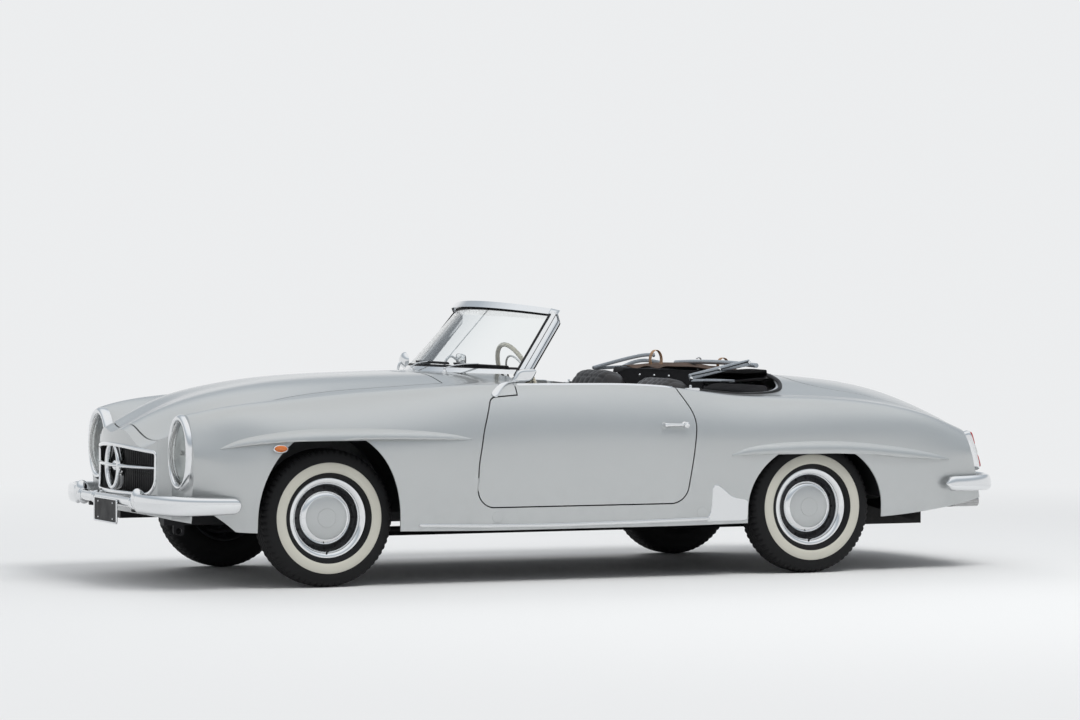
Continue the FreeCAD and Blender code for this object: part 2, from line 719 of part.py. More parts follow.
# Floor with its tunnel, bulkheads, boot floor, wheel houses and frame rails.
FLOOR_FRONT = along(690.0)
FLOOR_BACK = along(-900.0)
BULKHEAD_PLACE = along(-640.0)
WELL_PLACE = along(-1160.0)
BOOT_END = along(-2040.0)
TUNNEL_HALF = 110.0
TUNNEL_TOP = 430.0
PAN_HALF = across(800.0)
SHELF_HALF = across(640.0)
SHELF_LEVEL = 753.0
BOOT_LEVEL = 560.0
FRONT_RAIL = (across(330.0), 60.0, 90.0)
REAR_RAIL = (across(500.0), 60.0, 60.0)
RAIL_FRONT = along(1960.0)
RAIL_BACK = along(-2020.0)
SEAT_GAP = 0.3
floor_level = size("floor_level")
floor_wall = size("floor_wall")
floor_top = floor_level + floor_wall
tyre_radius = size("tyre_radius")
rail_low = tyre_radius - 42
back_rail_low = size("rear_bumper_height") - 30
house_side = across(470.0)
rear_house_side = size("rear_track") / 2 - size("tyre_width") / 2 - 25


def wide_box(x0, x1, half, low, high):
    """A box as wide on the right as on the left."""
    return Part.makeBox(x1 - x0, 2 * half, high - low, Vector(x0, -half, low))


def tunnel_form(shrink):
    """The outside of the tunnel, or its bore, which runs out at both ends."""
    reach = 20 if shrink else 0
    return wide_box(FLOOR_BACK - reach, FLOOR_FRONT + 2 * reach, TUNNEL_HALF - shrink,
                    floor_level - reach, TUNNEL_TOP - shrink)


def wheel_house(axle, radius, inner, wall):
    """Half round roof over a wheel, from the inner side to the fender, with an inner wall."""
    middle = Vector(axle, inner, tyre_radius)
    roof = Part.makeCylinder(radius + 6, 500, middle, Vector(0, 1, 0))
    roof = roof.cut(Part.makeCylinder(radius, 520, middle + Vector(0, wall, 0), Vector(0, 1, 0)))
    if not wall:
        roof = roof.cut(Part.makeCylinder(radius, 20, middle - Vector(0, 10, 0), Vector(0, 1, 0)))
    foot = tyre_radius + 46 if wall else tyre_radius + 10
    upper = Part.makeBox(2 * radius + 40, 500, radius + 40, Vector(axle - radius - 20, inner, foot))
    return roof.common(upper)


def fitted(name, shape):
    """A pressing that ends a little short of the outer panels and leaves the doors their room."""
    blank = solid_of(name + "_blank", shape)
    return cut(name, common(name + "_fitted", [blank, pan_limit]), door_rooms)


def clear_of_rear_wheels(body):
    """Leave room for the rear wheel houses and the wheels below them."""
    radius = size("house_rear_radius") + 6 + SEAT_GAP
    for side in (1, -1):
        start = Vector(rear_axle, side * (rear_house_side - SEAT_GAP), tyre_radius)
        body = body.cut(Part.makeCylinder(radius, 400, start, Vector(0, side, 0)))
    return body


def floor_shape():
    floor = wide_box(FLOOR_BACK, FLOOR_FRONT, PAN_HALF, floor_level, floor_top)
    floor = floor.fuse(tunnel_form(0)).cut(tunnel_form(floor_wall)).removeSplitter()
    return clear_of_rear_wheels(floor)


def firewall_shape():
    wall = wide_box(FLOOR_FRONT, FLOOR_FRONT + floor_wall, PAN_HALF, floor_level, floor_level + 620)
    return wall.cut(tunnel_form(floor_wall))


def bulkhead_shape():
    wall = wide_box(BULKHEAD_PLACE, BULKHEAD_PLACE + floor_wall, PAN_HALF, floor_top, floor_level + 520)
    shelf = wide_box(WELL_PLACE, BULKHEAD_PLACE, SHELF_HALF, SHELF_LEVEL, SHELF_LEVEL + floor_wall)
    return wall.fuse(shelf).cut(tunnel_form(0)).removeSplitter()


def boot_shape():
    well = wide_box(WELL_PLACE, WELL_PLACE + floor_wall, SHELF_HALF, BOOT_LEVEL, SHELF_LEVEL)
    floor = wide_box(BOOT_END, WELL_PLACE + floor_wall, PAN_HALF, BOOT_LEVEL, BOOT_LEVEL + floor_wall)
    return clear_of_rear_wheels(well.fuse(floor).removeSplitter())


def rails_shape():
    """Two front and two rear rails, the left front one with the tow eye."""
    rails = []
    for side in (1, -1):
        y, wide, tall = FRONT_RAIL
        front = Part.makeBox(RAIL_FRONT - FLOOR_FRONT - floor_wall, wide, tall, Vector(
            FLOOR_FRONT + floor_wall, side * y - wide / 2, rail_low))
        if side > 0:
            middle = Vector(along(1882.0), y - 6, 240)
            eye = Part.makeCylinder(26, 12, middle, Vector(0, 1, 0))
            eye = eye.fuse(Part.makeBox(52, 12, 50, middle + Vector(-26, 0, 0)))
            front = front.fuse(eye.cut(Part.makeCylinder(14, 12, middle, Vector(0, 1, 0))))
        y, wide, tall = REAR_RAIL
        back = Part.makeBox(FLOOR_BACK + wide - RAIL_BACK, wide, tall, Vector(
            RAIL_BACK, side * y - wide / 2, back_rail_low))
        post = Part.makeBox(wide, wide, back_rail_low - floor_top, Vector(
            FLOOR_BACK, side * y - wide / 2, floor_top))
        rails += [front.removeSplitter(), back.fuse(post).removeSplitter()]
    return Part.makeCompound(rails)


def houses_shape():
    front = wheel_house(front_axle, size("house_radius"), house_side, 0)
    back = wheel_house(rear_axle, size("house_rear_radius"), rear_house_side, 8)
    both = [front, back]
    return Part.makeCompound(both + [h.mirror(Vector(0, 0, 0), Vector(0, 1, 0)) for h in both])


pan_limit = solid_of("pan_limit", trimmed_form(size("panel_wall") + SEAT_GAP))
door_room = solid_of("door_room", Part.makeBox(
    along(660.0) - along(-470.0), 400, 700, Vector(along(-470.0), across(770.0), 340)))
door_rooms = join("door_rooms", [door_room, mirrored("door_room_right", door_room)])
sub_part("floor_pan", fitted("pan", floor_shape()))
sub_part("firewall", fitted("firewall_piece", firewall_shape()))
sub_part("rear_bulkhead", fitted("bulkhead_piece", bulkhead_shape()))
sub_part("boot_floor", fitted("boot_piece", boot_shape()))
sub_part("wheel_houses", fitted("house_piece", houses_shape()))
sub_part("frame_rails", fitted("rail_piece", rails_shape()))

# Wheels: profile of a rim with its dish, drum and hub cap, radius and offset outwards.
WHEEL_PROFILE = [
    ("0", "58"), ("0", "34"), ("hub_bore_radius", "34"), ("hub_bore_radius", "-52"),
    ("drum_radius", "-52"), ("drum_radius", "-6"), ("rim_radius - 32", "-6"),
    ("rim_radius - 32", "-24"), ("rim_radius - 20", "-32"), ("rim_radius - 20", "8 - rim_width / 2"),
    ("rim_radius - 4", "-rim_width / 2"), ("rim_radius", "-rim_width / 2"),
    ("rim_radius", "4 - rim_width / 2"), ("rim_radius - 13.5", "6 - rim_width / 2"),
    ("rim_radius - 13.5", "-32"), ("rim_radius - 28", "-22"), ("rim_radius - 28", "22"),
    ("rim_radius - 13.5", "32"), ("rim_radius - 13.5", "rim_width / 2 - 6"),
    ("rim_radius", "rim_width / 2 - 4"), ("rim_radius", "rim_width / 2"),
    ("rim_radius - 4", "rim_width / 2"), ("rim_radius - 20", "rim_width / 2 - 8"),
    ("rim_radius - 20", "34"), ("rim_radius - 32", "24"), ("rim_radius - 32", "6"),
    ("cap_radius + 2", "18"), ("cap_radius", "32"), ("cap_radius - 24", "46"),
    ("cap_radius - 26", "50"), ("cap_radius / 2", "56"),
]
TYRE_PROFILE = [
    ("rim_radius - 13", "6.5 - rim_width / 2"), ("rim_radius + 1", "5 - rim_width / 2"),
    ("rim_radius + 16", "8 - tyre_width / 2"), ("rim_radius + 57", "-tyre_width / 2"),
    ("tyre_radius - 32", "5 - tyre_width / 2"), ("tyre_radius - 9", "20 - tyre_width / 2"),
    ("tyre_radius", "42 - tyre_width / 2"), ("tyre_radius", "tyre_width / 2 - 42"),
    ("tyre_radius - 9", "tyre_width / 2 - 20"), ("tyre_radius - 32", "tyre_width / 2 - 5"),
    ("rim_radius + 57", "tyre_width / 2"), ("rim_radius + 16", "tyre_width / 2 - 8"),
    ("rim_radius + 1", "rim_width / 2 - 5"), ("rim_radius - 13", "rim_width / 2 - 6.5"),
]


def sketched_ring(name, profile):
    """A body whose sketch, radius along X and offset along Y, is turned round the Y axis."""
    body = doc.addObject("PartDesign::Body", name)
    sketch = body.newObject("Sketcher::SketchObject", name + "_profile")
    plane = [f for f in body.Origin.OriginFeatures if f.Role == "XY_Plane"][0]
    sketch.AttachmentSupport = [(plane, "")]
    sketch.MapMode = "FlatFace"
    places = [(evaluated(a), evaluated(b)) for a, b in profile]
    last = len(places)
    for i in range(last):
        a, b = places[i]
        c, d = places[(i + 1) % last]
        sketch.addGeometry(Part.LineSegment(Vector(a, b, 0), Vector(c, d, 0)), False)
    for i in range(last):
        sketch.addConstraint(Sketcher.Constraint("Coincident", i, 2, (i + 1) % last, 1))
    for i, (a, b) in enumerate(profile):
        for kind, formula, value in (("DistanceX", a, places[i][0]), ("DistanceY", b, places[i][1])):
            index = sketch.addConstraint(Sketcher.Constraint(kind, -1, 1, i, 1, value))
            bind(sketch, "Constraints[%d]" % index, with_sheet(formula))
    turned = body.newObject("PartDesign::Revolution", name + "_turned")
    turned.Profile = sketch
    turned.ReferenceAxis = (sketch, ["V_Axis"])
    turned.Angle = 360.0
    body.Tip = turned
    return body


def evaluated(formula):
    """Value of a short formula of size names, numbers and + - * /."""
    probe = doc.getObject("Probe") or doc.addObject("Part::Vertex", "Probe")
    probe.setExpression("X", with_sheet(formula))
    doc.recompute([probe])
    return probe.X.Value


def wheel_place(item, axle, track, side):
    """Stand a wheel at its axle, its outer face to its own side."""
    turn = Rotation() if side > 0 else Rotation(Vector(0, 0, 1), 180)
    place(item, (axle, "%d * %s / 2" % (side, track), "tyre_radius"), turn)


WHEELS = [
    ("front_left", FRONT_AXLE, "front_track", 1),
    ("front_right", FRONT_AXLE, "front_track", -1),
    ("rear_left", REAR_AXLE, "rear_track", 1),
    ("rear_right", REAR_AXLE, "rear_track", -1),
]
for corner, axle, track, side in WHEELS:
    for kind, profile in (("wheel", WHEEL_PROFILE), ("tyre", TYRE_PROFILE)):
        turned = sketched_ring("%s_%s_body" % (kind, corner), profile)
        wheel_place(turned, axle, track, side)
        sub_part("%s_%s" % (kind, corner), turned)

# Front suspension: crossmember, arms and steering pivots, all fixed; knuckles turn on the pivots.
ARM_DROP = 112
PIVOT_Y = "(front_track / 2 - kingpin_offset)"
members = [
    box("crossmember", (110, "2 * 400", 70), (FRONT_AXLE + " - 55", -400, "tyre_radius - 112")),
]
for side in (1, -1):
    tag = "left" if side > 0 else "right"
    y_low = "400 - 40" if side > 0 else "0 - (%s + 16)" % PIVOT_Y
    for level, z in (("lower", "tyre_radius - 132"), ("upper", "tyre_radius + 112")):
        members.append(box("arm_%s_%s" % (level, tag),
                           (44, PIVOT_Y + " + 16 - 360", 20), (FRONT_AXLE + " - 22", y_low, z)))
    members.append(box("post_" + tag, (44, 40, 244),
                       (FRONT_AXLE + " - 22", 360 if side > 0 else -400, "tyre_radius - 112")))
    members.append(rod("kingpin_" + tag, "kingpin_radius", 250,
                       (FRONT_AXLE, "%d * %s" % (side, PIVOT_Y), "tyre_radius - 125")))
sub_part("front_axle", join("front_axle_piece", members))

for side in (1, -1):
    tag = "left" if side > 0 else "right"
    pivot = "%d * %s" % (side, PIVOT_Y)
    sleeve = rod("sleeve_" + tag, "kingpin_radius + 12", 180, (FRONT_AXLE, pivot, "tyre_radius - 90"))
    stub = rod("stub_" + tag, "spindle_radius", "kingpin_offset + 28",
               (FRONT_AXLE, pivot if side > 0 else pivot + " - kingpin_offset - 28", "tyre_radius"), "y")
    lever = box("lever_" + tag, (130, 16, 20), (
        FRONT_AXLE + " - 130", pivot + " - 8", "tyre_radius - 80"))
    whole = join("knuckle_blank_" + tag, [sleeve, stub, lever])
    bore = rod("kingpin_bore_" + tag, "kingpin_radius + pin_clearance", 260,
               (FRONT_AXLE, pivot, "tyre_radius - 130"))
    sub_part("knuckle_" + tag, cut("knuckle_piece_" + tag, whole, bore))

# Rear swing axle with its drive case.
case = ball("drive_case", 105, (REAR_AXLE, 0, "tyre_radius"))
tubes = []
for side in (1, -1):
    tag = "left" if side > 0 else "right"
    outer = "rear_track / 2 - 70"
    tubes.append(rod("axle_tube_" + tag, 38, outer,
                     (REAR_AXLE, 0 if side > 0 else "0 - (%s)" % outer, "tyre_radius"), "y"))
    reach = "rear_track / 2 + 28"
    tubes.append(rod("axle_stub_" + tag, "spindle_radius", reach,
                     (REAR_AXLE, 0 if side > 0 else "0 - (%s)" % reach, "tyre_radius"), "y"))
    tubes.append(rod("back_plate_" + tag, "drum_radius - 4", 6,
                     (REAR_AXLE, "rear_track / 2 - 66" if side > 0 else "60 - rear_track / 2",
                      "tyre_radius"), "y"))
sub_part("rear_axle", join("rear_axle_piece", [case] + tubes))

# Engine as one block, gearbox and propeller shaft.
RAIL_HALF = across(330.0)
RAIL_TOP = 358.0
engine = box("engine_case", (620, 420, 480), (along(840.0), -210, 300))
engine_feet = box("engine_feet", (60, 2 * RAIL_HALF + 50, 34), (along(1110.0), -RAIL_HALF - 25, RAIL_TOP))
sub_part("engine_block", join("engine_piece", [engine, engine_feet]))
gearbox = rod("gearbox_case", 85, along(840.0) - along(430.0), (along(430.0), 0, 325), "x")
shaft = rod("propeller_shaft", 30, along(440.0) - rear_axle - 105.3,
            (REAR_AXLE + " + 105.3", 0, "tyre_radius"), "x")
sub_part("driveline", join("driveline_piece", [gearbox, shaft]))

# Exhaust with its silencer and one tail pipe on the left.
pipe = rod("front_pipe", 22, along(900.0) - along(-1450.0), (along(-1450.0), 190, 208), "x")
down_pipe = rod("down_pipe", 22, 300 - 208, (along(900.0) - 22, 190, 208))
silencer = box("silencer_case", (along(-1420.0) - along(-1800.0), 380, 120), (along(-1800.0), 160, 205))
hanger = rod("exhaust_hanger", 8, "rear_bumper_height - 30 - 320", (along(-1600.0), across(500.0), 320))
tail_pipe = rod("tail_pipe", "exhaust_radius", along(-1790.0) - along(-2140.0),
                (along(-2140.0), 480, 302), "x")
tail_bore = rod("tail_bore", "exhaust_radius - 3", 120, (along(-2141.0), 480, 302), "x")
sub_part("exhaust", cut("exhaust_piece", join(
    "exhaust_blank", [pipe, down_pipe, silencer, hanger, tail_pipe]), tail_bore))


# Bumpers: a blade that follows one curve in plan, for both ends of the car.
def blade(points, thickness, low, high, rounding):
    """Solid between a curve through plan points and its inner offset, with rounded outer edges."""
    outer = [Vector(along(x), across(y), low) for x, y in points]
    inner = []
    last = len(points) - 1
    for i, p in enumerate(outer):
        run = outer[min(i + 1, last)] - outer[max(i - 1, 0)]
        run.normalize()
        inner.append(p + Vector(run.y, -run.x, 0) * thickness)
    outside = Part.BSplineCurve()
    outside.interpolate(outer)
    inside_curve = Part.BSplineCurve()
    inside_curve.interpolate(inner)
    edges = [
        outside.toShape(),
        Part.makeLine(outer[-1], inner[-1]),
        inside_curve.toShape(),
        Part.makeLine(inner[0], outer[0]),
    ]
    form = Part.Face(Part.Wire(Part.__sortEdges__(edges))).extrude(Vector(0, 0, high - low))
    outline = []
    for edge in form.Edges:
        flat = abs(edge.BoundBox.ZLength) < 0.01
        middle = edge.valueAt((edge.FirstParameter + edge.LastParameter) / 2)
        near = outside.toShape().distToShape(Part.Vertex(Vector(middle.x, middle.y, low)))[0] < 0.5
        if flat and near and edge.Length > 200:
            outline.append(edge)
    return form.makeFillet(rounding, outline)


FRONT_BLADE = [
    (1760, 872), (1880, 866), (1985, 836), (2060, 770), (2104, 670), (2126, 560), (2136, 440),
]
REAR_BLADE = [
    (-1770, 872), (-1900, 862), (-2010, 815), (-2080, 730), (-2115, 600), (-2136, 380), (-2145, 0),
]
front_low = size("bumper_height") - size("bumper_depth") / 2
front_high = size("bumper_height") + size("bumper_depth") / 2
front_blade = solid_of("front_blade_left", blade(FRONT_BLADE, 30, front_low, front_high, 24))
front_blades = [front_blade, mirrored("front_blade_right", front_blade)]
centre_tube = rod("bumper_tube", 27, "2 * " + str(across(430.0)),
                  (along(2108.0), -across(430.0), "bumper_height"), "y")
guards = []
for side in (1, -1):
    guard = doc.addObject("Part::Ellipsoid", "guard_left" if side > 0 else "guard_right")
    guard.Radius1 = 76
    guard.Radius2 = 42
    guard.Radius3 = 44
    place(guard, (along(2103.0), side * across(432.0), "bumper_height + 6"))
    guards.append(guard)
    guards.append(box("bumper_arm_" + ("left" if side > 0 else "right"),
                      (along(2105.0) - along(1960.0), 30, 40),
                      (along(1960.0), side * RAIL_HALF - 15, "bumper_height - 60")))
sub_part("front_bumper", join("front_bumper_piece", front_blades + [centre_tube] + guards))
rear_low = size("rear_bumper_height") - size("bumper_depth") / 2
rear_high = size("rear_bumper_height") + size("bumper_depth") / 2
rear_points = REAR_BLADE + [(x, -y) for x, y in REAR_BLADE[-2::-1]]
rear_blade = solid_of("rear_blade", blade(rear_points[::-1], 30, rear_low, rear_high, 24))
rear_arms = [box("rear_arm_%s" % tag, (along(-2020.0) - along(-2118.0), 30, 40),
                 (along(-2118.0), side * across(500.0) - 15, "rear_bumper_height - 20"))
             for tag, side in (("left", 1), ("right", -1))]
sub_part("rear_bumper", join("rear_bumper_piece", [rear_blade] + rear_arms))
sub_part("number_plate", box("front_plate", (6, 240, 104), (along(2108.0) + 27.3, -120, 276)))


# Lamps.
def oval(x, y, z, half_width, half_height, depth):
    """Elliptic disc that faces along the car."""
    middle = Vector(x, y, z)
    curve = Part.Ellipse(middle + Vector(0, 0, half_height), middle + Vector(0, half_width, 0), middle)
    return Part.Face(Part.Wire(curve.toShape())).extrude(Vector(depth, 0, 0))


lamp_x = along(LAMP_PLANE)
lamp_y = size("lamp_half_spacing")
lamp_z = size("lamp_height")
ring_w = size("lamp_half_width")
ring_h = size("lamp_half_height")
bezel = oval(lamp_x, lamp_y, lamp_z, ring_w, ring_h, 26)
bezel = bezel.makeFillet(9, [e for e in bezel.Edges if abs(e.BoundBox.XMin - lamp_x - 26) < 0.1
                             and e.BoundBox.XLength < 0.1])
bezel = bezel.cut(oval(lamp_x - 1, lamp_y, lamp_z, ring_w - 14, ring_h - 14, 60))
bezel_item = solid_of("bezel_left", bezel)
sub_part("headlamp_rings", group("bezels", [bezel_item, mirrored("bezel_right", bezel_item)]))
dome = doc.addObject("Part::Ellipsoid", "dome_left")
dome.Angle1 = 0
bind(dome, "Radius1", "55")
bind(dome, "Radius2", with_sheet("lamp_half_height - 14.3"))
bind(dome, "Radius3", with_sheet("lamp_half_width - 14.3"))
place(dome, (lamp_x + 0.3, "lamp_half_spacing", "lamp_height"), Rotation(Vector(0, 1, 0), 90))
sub_part("headlamp_lenses", group("domes", [dome, mirrored("dome_right", dome)]))

TAIL_LAMP = (-1986.0, 690.0, 556.0)
TAIL_LAMP_TURN = 16
TAIL_LAMP_LEAN = 17
tail_middle = Vector(along(TAIL_LAMP[0]), across(TAIL_LAMP[1]), TAIL_LAMP[2])
tail_lamp = Part.makeBox(60, 62, 196, tail_middle - Vector(0, 31, 98))
tail_lamp.rotate(tail_middle, Vector(0, 0, 1), -TAIL_LAMP_TURN)
tail_lamp.rotate(tail_middle, Vector(0, 1, 0), TAIL_LAMP_LEAN)
tail_lamp = tail_lamp.makeFillet(8, tail_lamp.Edges)
lamp_seat = solid_of("lamp_seat", trimmed_form(-SEAT_GAP))
lamp_item = cut("tail_lamp_seated", solid_of("tail_lamp_block", tail_lamp), lamp_seat)
sub_part("tail_lamps", group("tail_lamp_pair", [lamp_item, mirrored("tail_lamp_right", lamp_item)]))

# Grille: trim round the opening, one bar across and an oval in the middle.
def follow_nose(block, front, depth):
    """A front view block given the arc of the nose in plan."""
    return block.cut(nose_cutter(-front)).common(nose_cutter(depth - front))


TRIM_WIDTH = 14.0
BAR_HALF = 424.0
opening_block = rounded_plate(grille_outline, along(1880.0), along(2300.0), "x")
trim = follow_nose(opening_block, 2, 20).cut(
    rounded_plate(grille_outline, along(1850.0), along(2350.0), "x", -TRIM_WIDTH))
bar_block = plate(
    [(-BAR_HALF, 522), (BAR_HALF, 522), (BAR_HALF, 540), (-BAR_HALF, 540)],
    along(1880.0), along(2300.0), "x")
bar = follow_nose(bar_block, -4, 16)
oval_ring = oval(along(2040.0), 0, 528, 96, 104, 50).cut(
    oval(along(2039.0), 0, 528, 80, 88, 60))
oval_front = nose_cutter(-8)
oval_ring = oval_ring.cut(oval_front)
boss = oval(along(2050.0), 0, 528, 26, 28, 38).cut(oval_front)
struts = Part.makeBox(70, 12, 130, Vector(along(1988.0), -6, 463))
grille = trim.fuse([bar, oval_ring, boss, struts])
grille = grille.cut(nose_cutter(-9))
sub_part("grille", solid_of("grille_piece", grille.removeSplitter()))

# Windscreen: each arc's x and z at the middle, then its x, y and z at the left end.
SCREEN_BASE = (585.0, 946.0, 335.0, 660.0, 940.0)
SCREEN_TOP = (282.0, 1262.0, 122.0, 588.0, 1228.0)
PILLAR_HALF = 36.0
PILLAR_OUT = 8.0
PILLAR_IN = 18.0


def screen_arc(spec):
    """Right end, middle and left end of one arc of the screen."""
    x_middle, z_middle, x_end, y_end, z_end = spec
    left = Vector(along(x_end), across(y_end), z_end)
    return [Vector(left.x, -left.y, left.z), Vector(along(x_middle), 0, z_middle), left]


screen_base = screen_arc(SCREEN_BASE)
screen_top = screen_arc(SCREEN_TOP)


def on_screen(i, share):
    """Right end, middle or left end of the screen at a share of the way up."""
    return screen_base[i] + (screen_top[i] - screen_base[i]) * share


def screen_slab(low, high, ahead, behind, end_trim):
    """Curved slab between two shares of the screen's height, from ahead of its middle to behind."""
    wires = []
    for share in (low, high):
        points = [on_screen(i, share) + Vector(0, (1 - i) * end_trim, 0) for i in range(3)]
        forward = (points[1] - (points[0] + points[2]) * 0.5).normalize()
        fore = [p + forward * ahead for p in points]
        aft = [p - forward * behind for p in points]
        edges = [
            Part.Arc(fore[0], fore[1], fore[2]).toShape(),
            Part.makeLine(fore[2], aft[2]),
            Part.Arc(aft[2], aft[1], aft[0]).toShape(),
            Part.makeLine(aft[0], fore[0]),
        ]
        wires.append(Part.Wire(edges))
    return Part.makeLoft(wires, True, True)


def pillar():
    """Left pillar: wide and flat along the side, its rear top corner cut back under the header."""
    profile = [(-0.26, PILLAR_HALF), (0.99, PILLAR_HALF), (0.99, 14.0), (0.80, -PILLAR_HALF),
               (-0.26, -PILLAR_HALF)]
    wires = []
    for y_shift in (PILLAR_OUT, -PILLAR_IN):
        points = [on_screen(2, share) + Vector(x_shift, y_shift, 0) for share, x_shift in profile]
        wires.append(Part.makePolygon(points + points[:1]))
    form = Part.makeLoft(wires, True, True)
    long_edges = [e for e in form.Edges if e.Length > 200 and e.BoundBox.YMax > on_screen(2, 0).y]
    return form.makeFillet(7, long_edges)


glass = screen_slab(0.05, 0.955, 3, 3, 12)
glass_room = screen_slab(0.04, 0.965, 3.3, 3.3, 11.7)
header = screen_slab(0.935, 1.02, 40, 6, 14)
lower_rail = screen_slab(0.0, 0.07, 12, 12, 6)
left_pillar = pillar()
right_pillar = left_pillar.mirror(Vector(0, 0, 0), Vector(0, 1, 0))
frame_item = solid_of("screen_frame", header.fuse([lower_rail, left_pillar, right_pillar]).cut(glass_room))
sub_part("windshield_frame", cut("screen_frame_seated", frame_item, skin))
sub_part("windshield_glass", solid_of("screen_glass", glass))

# Dashboard with the hood over the instruments and the column sleeve.
rake = math.radians(size("steering_rake"))
wheel_centre = Vector(along(234.0), 370, 897)
column_run = Vector(math.cos(rake), 0, -math.sin(rake))
DASH_Z = 700
dash_body = Part.makeBox(110, 2 * across(640.0), 190, Vector(along(332.0), -across(640.0), DASH_Z))
dash_body = dash_body.makeFillet(40, [e for e in dash_body.Edges if e.BoundBox.YLength > 900
                                      and e.BoundBox.XMax < along(332.0) + 1])
pod = Part.makeCylinder(120, 150, Vector(along(300.0), 370, 880), Vector(1, 0, 0))
pod = pod.cut(Part.makeCylinder(110, 40, Vector(along(299.0), 370, 880), Vector(1, 0, 0)))
dash = dash_body.fuse(pod)
sleeve_start = wheel_centre + column_run * 130
sleeve_tube = Part.makeCylinder(24, 330, sleeve_start, column_run)
dash = dash.fuse(sleeve_tube)
dash = dash.cut(Part.makeCylinder(12.05, 900, wheel_centre + column_run * 20, column_run))
dash_item = solid_of("dash_blank", dash)
sub_part("dashboard", common("dash_fitted", [dash_item, pan_limit]))

# Steering wheel on its shaft.
wheel_turn = Rotation(Vector(0, 0, 1), column_run)
wheel_spot = (wheel_centre.x, wheel_centre.y, wheel_centre.z)
rim = ring("steering_rim", "steering_radius - 11", 11, wheel_spot, wheel_turn)
horn = ring("horn_ring", "steering_radius - 72", 5, wheel_spot, wheel_turn)
hub_form = Part.makeCylinder(34, 60, wheel_centre - column_run * 20, column_run)
shaft_form = Part.makeCylinder(12, 470, wheel_centre, column_run)
spokes = []
across_run = Vector(0, 1, 0)
for side in (1, -1):
    spokes.append(Part.makeCylinder(8, size("steering_radius") - 12, wheel_centre, across_run * side))
hub_item = solid_of("steering_hub", hub_form.fuse([shaft_form] + spokes))
sub_part("steering_wheel", join("steering_piece", [rim, horn, hub_item]))


# Seats.
def seat(side):
    y = side * size("seat_half_spacing")
    half = size("seat_width") / 2
    cushion = Part.makeBox(500, 2 * half, 150, Vector(along(-350.0), y - half, 320))
    cushion = cushion.makeFillet(45, cushion.Edges)
    squab = Part.makeBox(130, 2 * half, 560, Vector(along(-460.0), y - half, 375))
    squab = squab.makeFillet(55, squab.Edges)
    squab.rotate(Vector(along(-395.0), y, 375), Vector(0, 1, 0), -13)
    runner = Part.makeBox(420, 2 * half - 120, 330 - floor_level - floor_wall,
                          Vector(along(-310.0), y - half + 60, floor_level + floor_wall))
    return cushion.fuse([squab, runner])


sub_part("seats", group("seat_pair", [
    solid_of("seat_left_piece", seat(1)), solid_of("seat_right_piece", seat(-1))]))

# Folded soft top in its well, with the bows that lie on it.
TOP_OUTLINE = [
    (-640, 0), (-642, 380), (-660, 540), (-770, 580), (-900, 548), (-1010, 470), (-1085, 330),
    (-1110, 150), (-1114, 0),
]
top_outline = both_sides(plan(TOP_OUTLINE))
top_base = 765.3
top_height = 965.0
folded = smooth_plate(top_outline[1:-1], top_base, top_height)
folded = folded.makeFillet(45, [e for e in folded.Edges if e.BoundBox.ZMin > top_height - 1])
sub_part("folded_top", solid_of("folded_top_piece", folded))
BOW_RADIUS = 12.0
BOW_FRONT = along(-640.0)
BOW_BACK = along(-960.0)
BOW_SIDE = across(470.0)
bow_level = top_height + BOW_RADIUS + SEAT_GAP
bow_parts = []
for side in (1, -1):
    start = Vector(BOW_BACK, side * BOW_SIDE, bow_level)
    bow_parts.append(Part.makeCylinder(BOW_RADIUS, BOW_FRONT - BOW_BACK, start, RUNS["x"]))
for x in (BOW_FRONT, BOW_BACK):
    start = Vector(x, -BOW_SIDE, bow_level)
    bow_parts.append(Part.makeCylinder(BOW_RADIUS, 2 * BOW_SIDE, start, RUNS["y"]))
sub_part("top_bows", solid_of("bows_piece", bow_parts[0].fuse(bow_parts[1:])))


def finish():
    """Recompute, check every object, and write each sub-part."""
    doc.recompute()
    for item in doc.Objects:
        if "Invalid" in item.State or "Error" in item.State:
            raise RuntimeError("object failed: %s %s" % (item.Name, item.State))
    os.makedirs("parts", exist_ok=True)
    for item in pieces:
        shape = item.Shape
        if shape.isNull() or not shape.isValid() or not shape.Solids:
            raise RuntimeError("bad shape: %s" % item.Label)
        shape.exportStep("parts/%s.step" % item.Label)
        print("%-22s solids %d faces %4d volume %8.5f m3" % (
            item.Label, len(shape.Solids), len(shape.Faces), shape.Volume / 1e9))


finish()
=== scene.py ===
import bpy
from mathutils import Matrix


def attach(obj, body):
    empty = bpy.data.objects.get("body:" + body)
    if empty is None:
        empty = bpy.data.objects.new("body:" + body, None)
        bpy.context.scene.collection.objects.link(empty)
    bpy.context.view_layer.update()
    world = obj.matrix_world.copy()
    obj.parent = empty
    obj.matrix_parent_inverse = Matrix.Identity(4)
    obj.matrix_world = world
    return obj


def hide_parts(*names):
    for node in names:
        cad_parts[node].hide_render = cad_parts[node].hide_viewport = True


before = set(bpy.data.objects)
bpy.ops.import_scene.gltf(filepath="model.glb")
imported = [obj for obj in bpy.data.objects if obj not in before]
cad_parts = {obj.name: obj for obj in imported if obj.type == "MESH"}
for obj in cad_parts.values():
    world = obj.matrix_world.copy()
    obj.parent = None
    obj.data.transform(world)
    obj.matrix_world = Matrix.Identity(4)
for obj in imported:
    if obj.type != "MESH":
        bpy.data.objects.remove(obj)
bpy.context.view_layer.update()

import math

import bmesh
import bpy
import numpy as np
from bpy.props import FloatProperty, FloatVectorProperty, IntProperty, PointerProperty
from mathutils import Vector

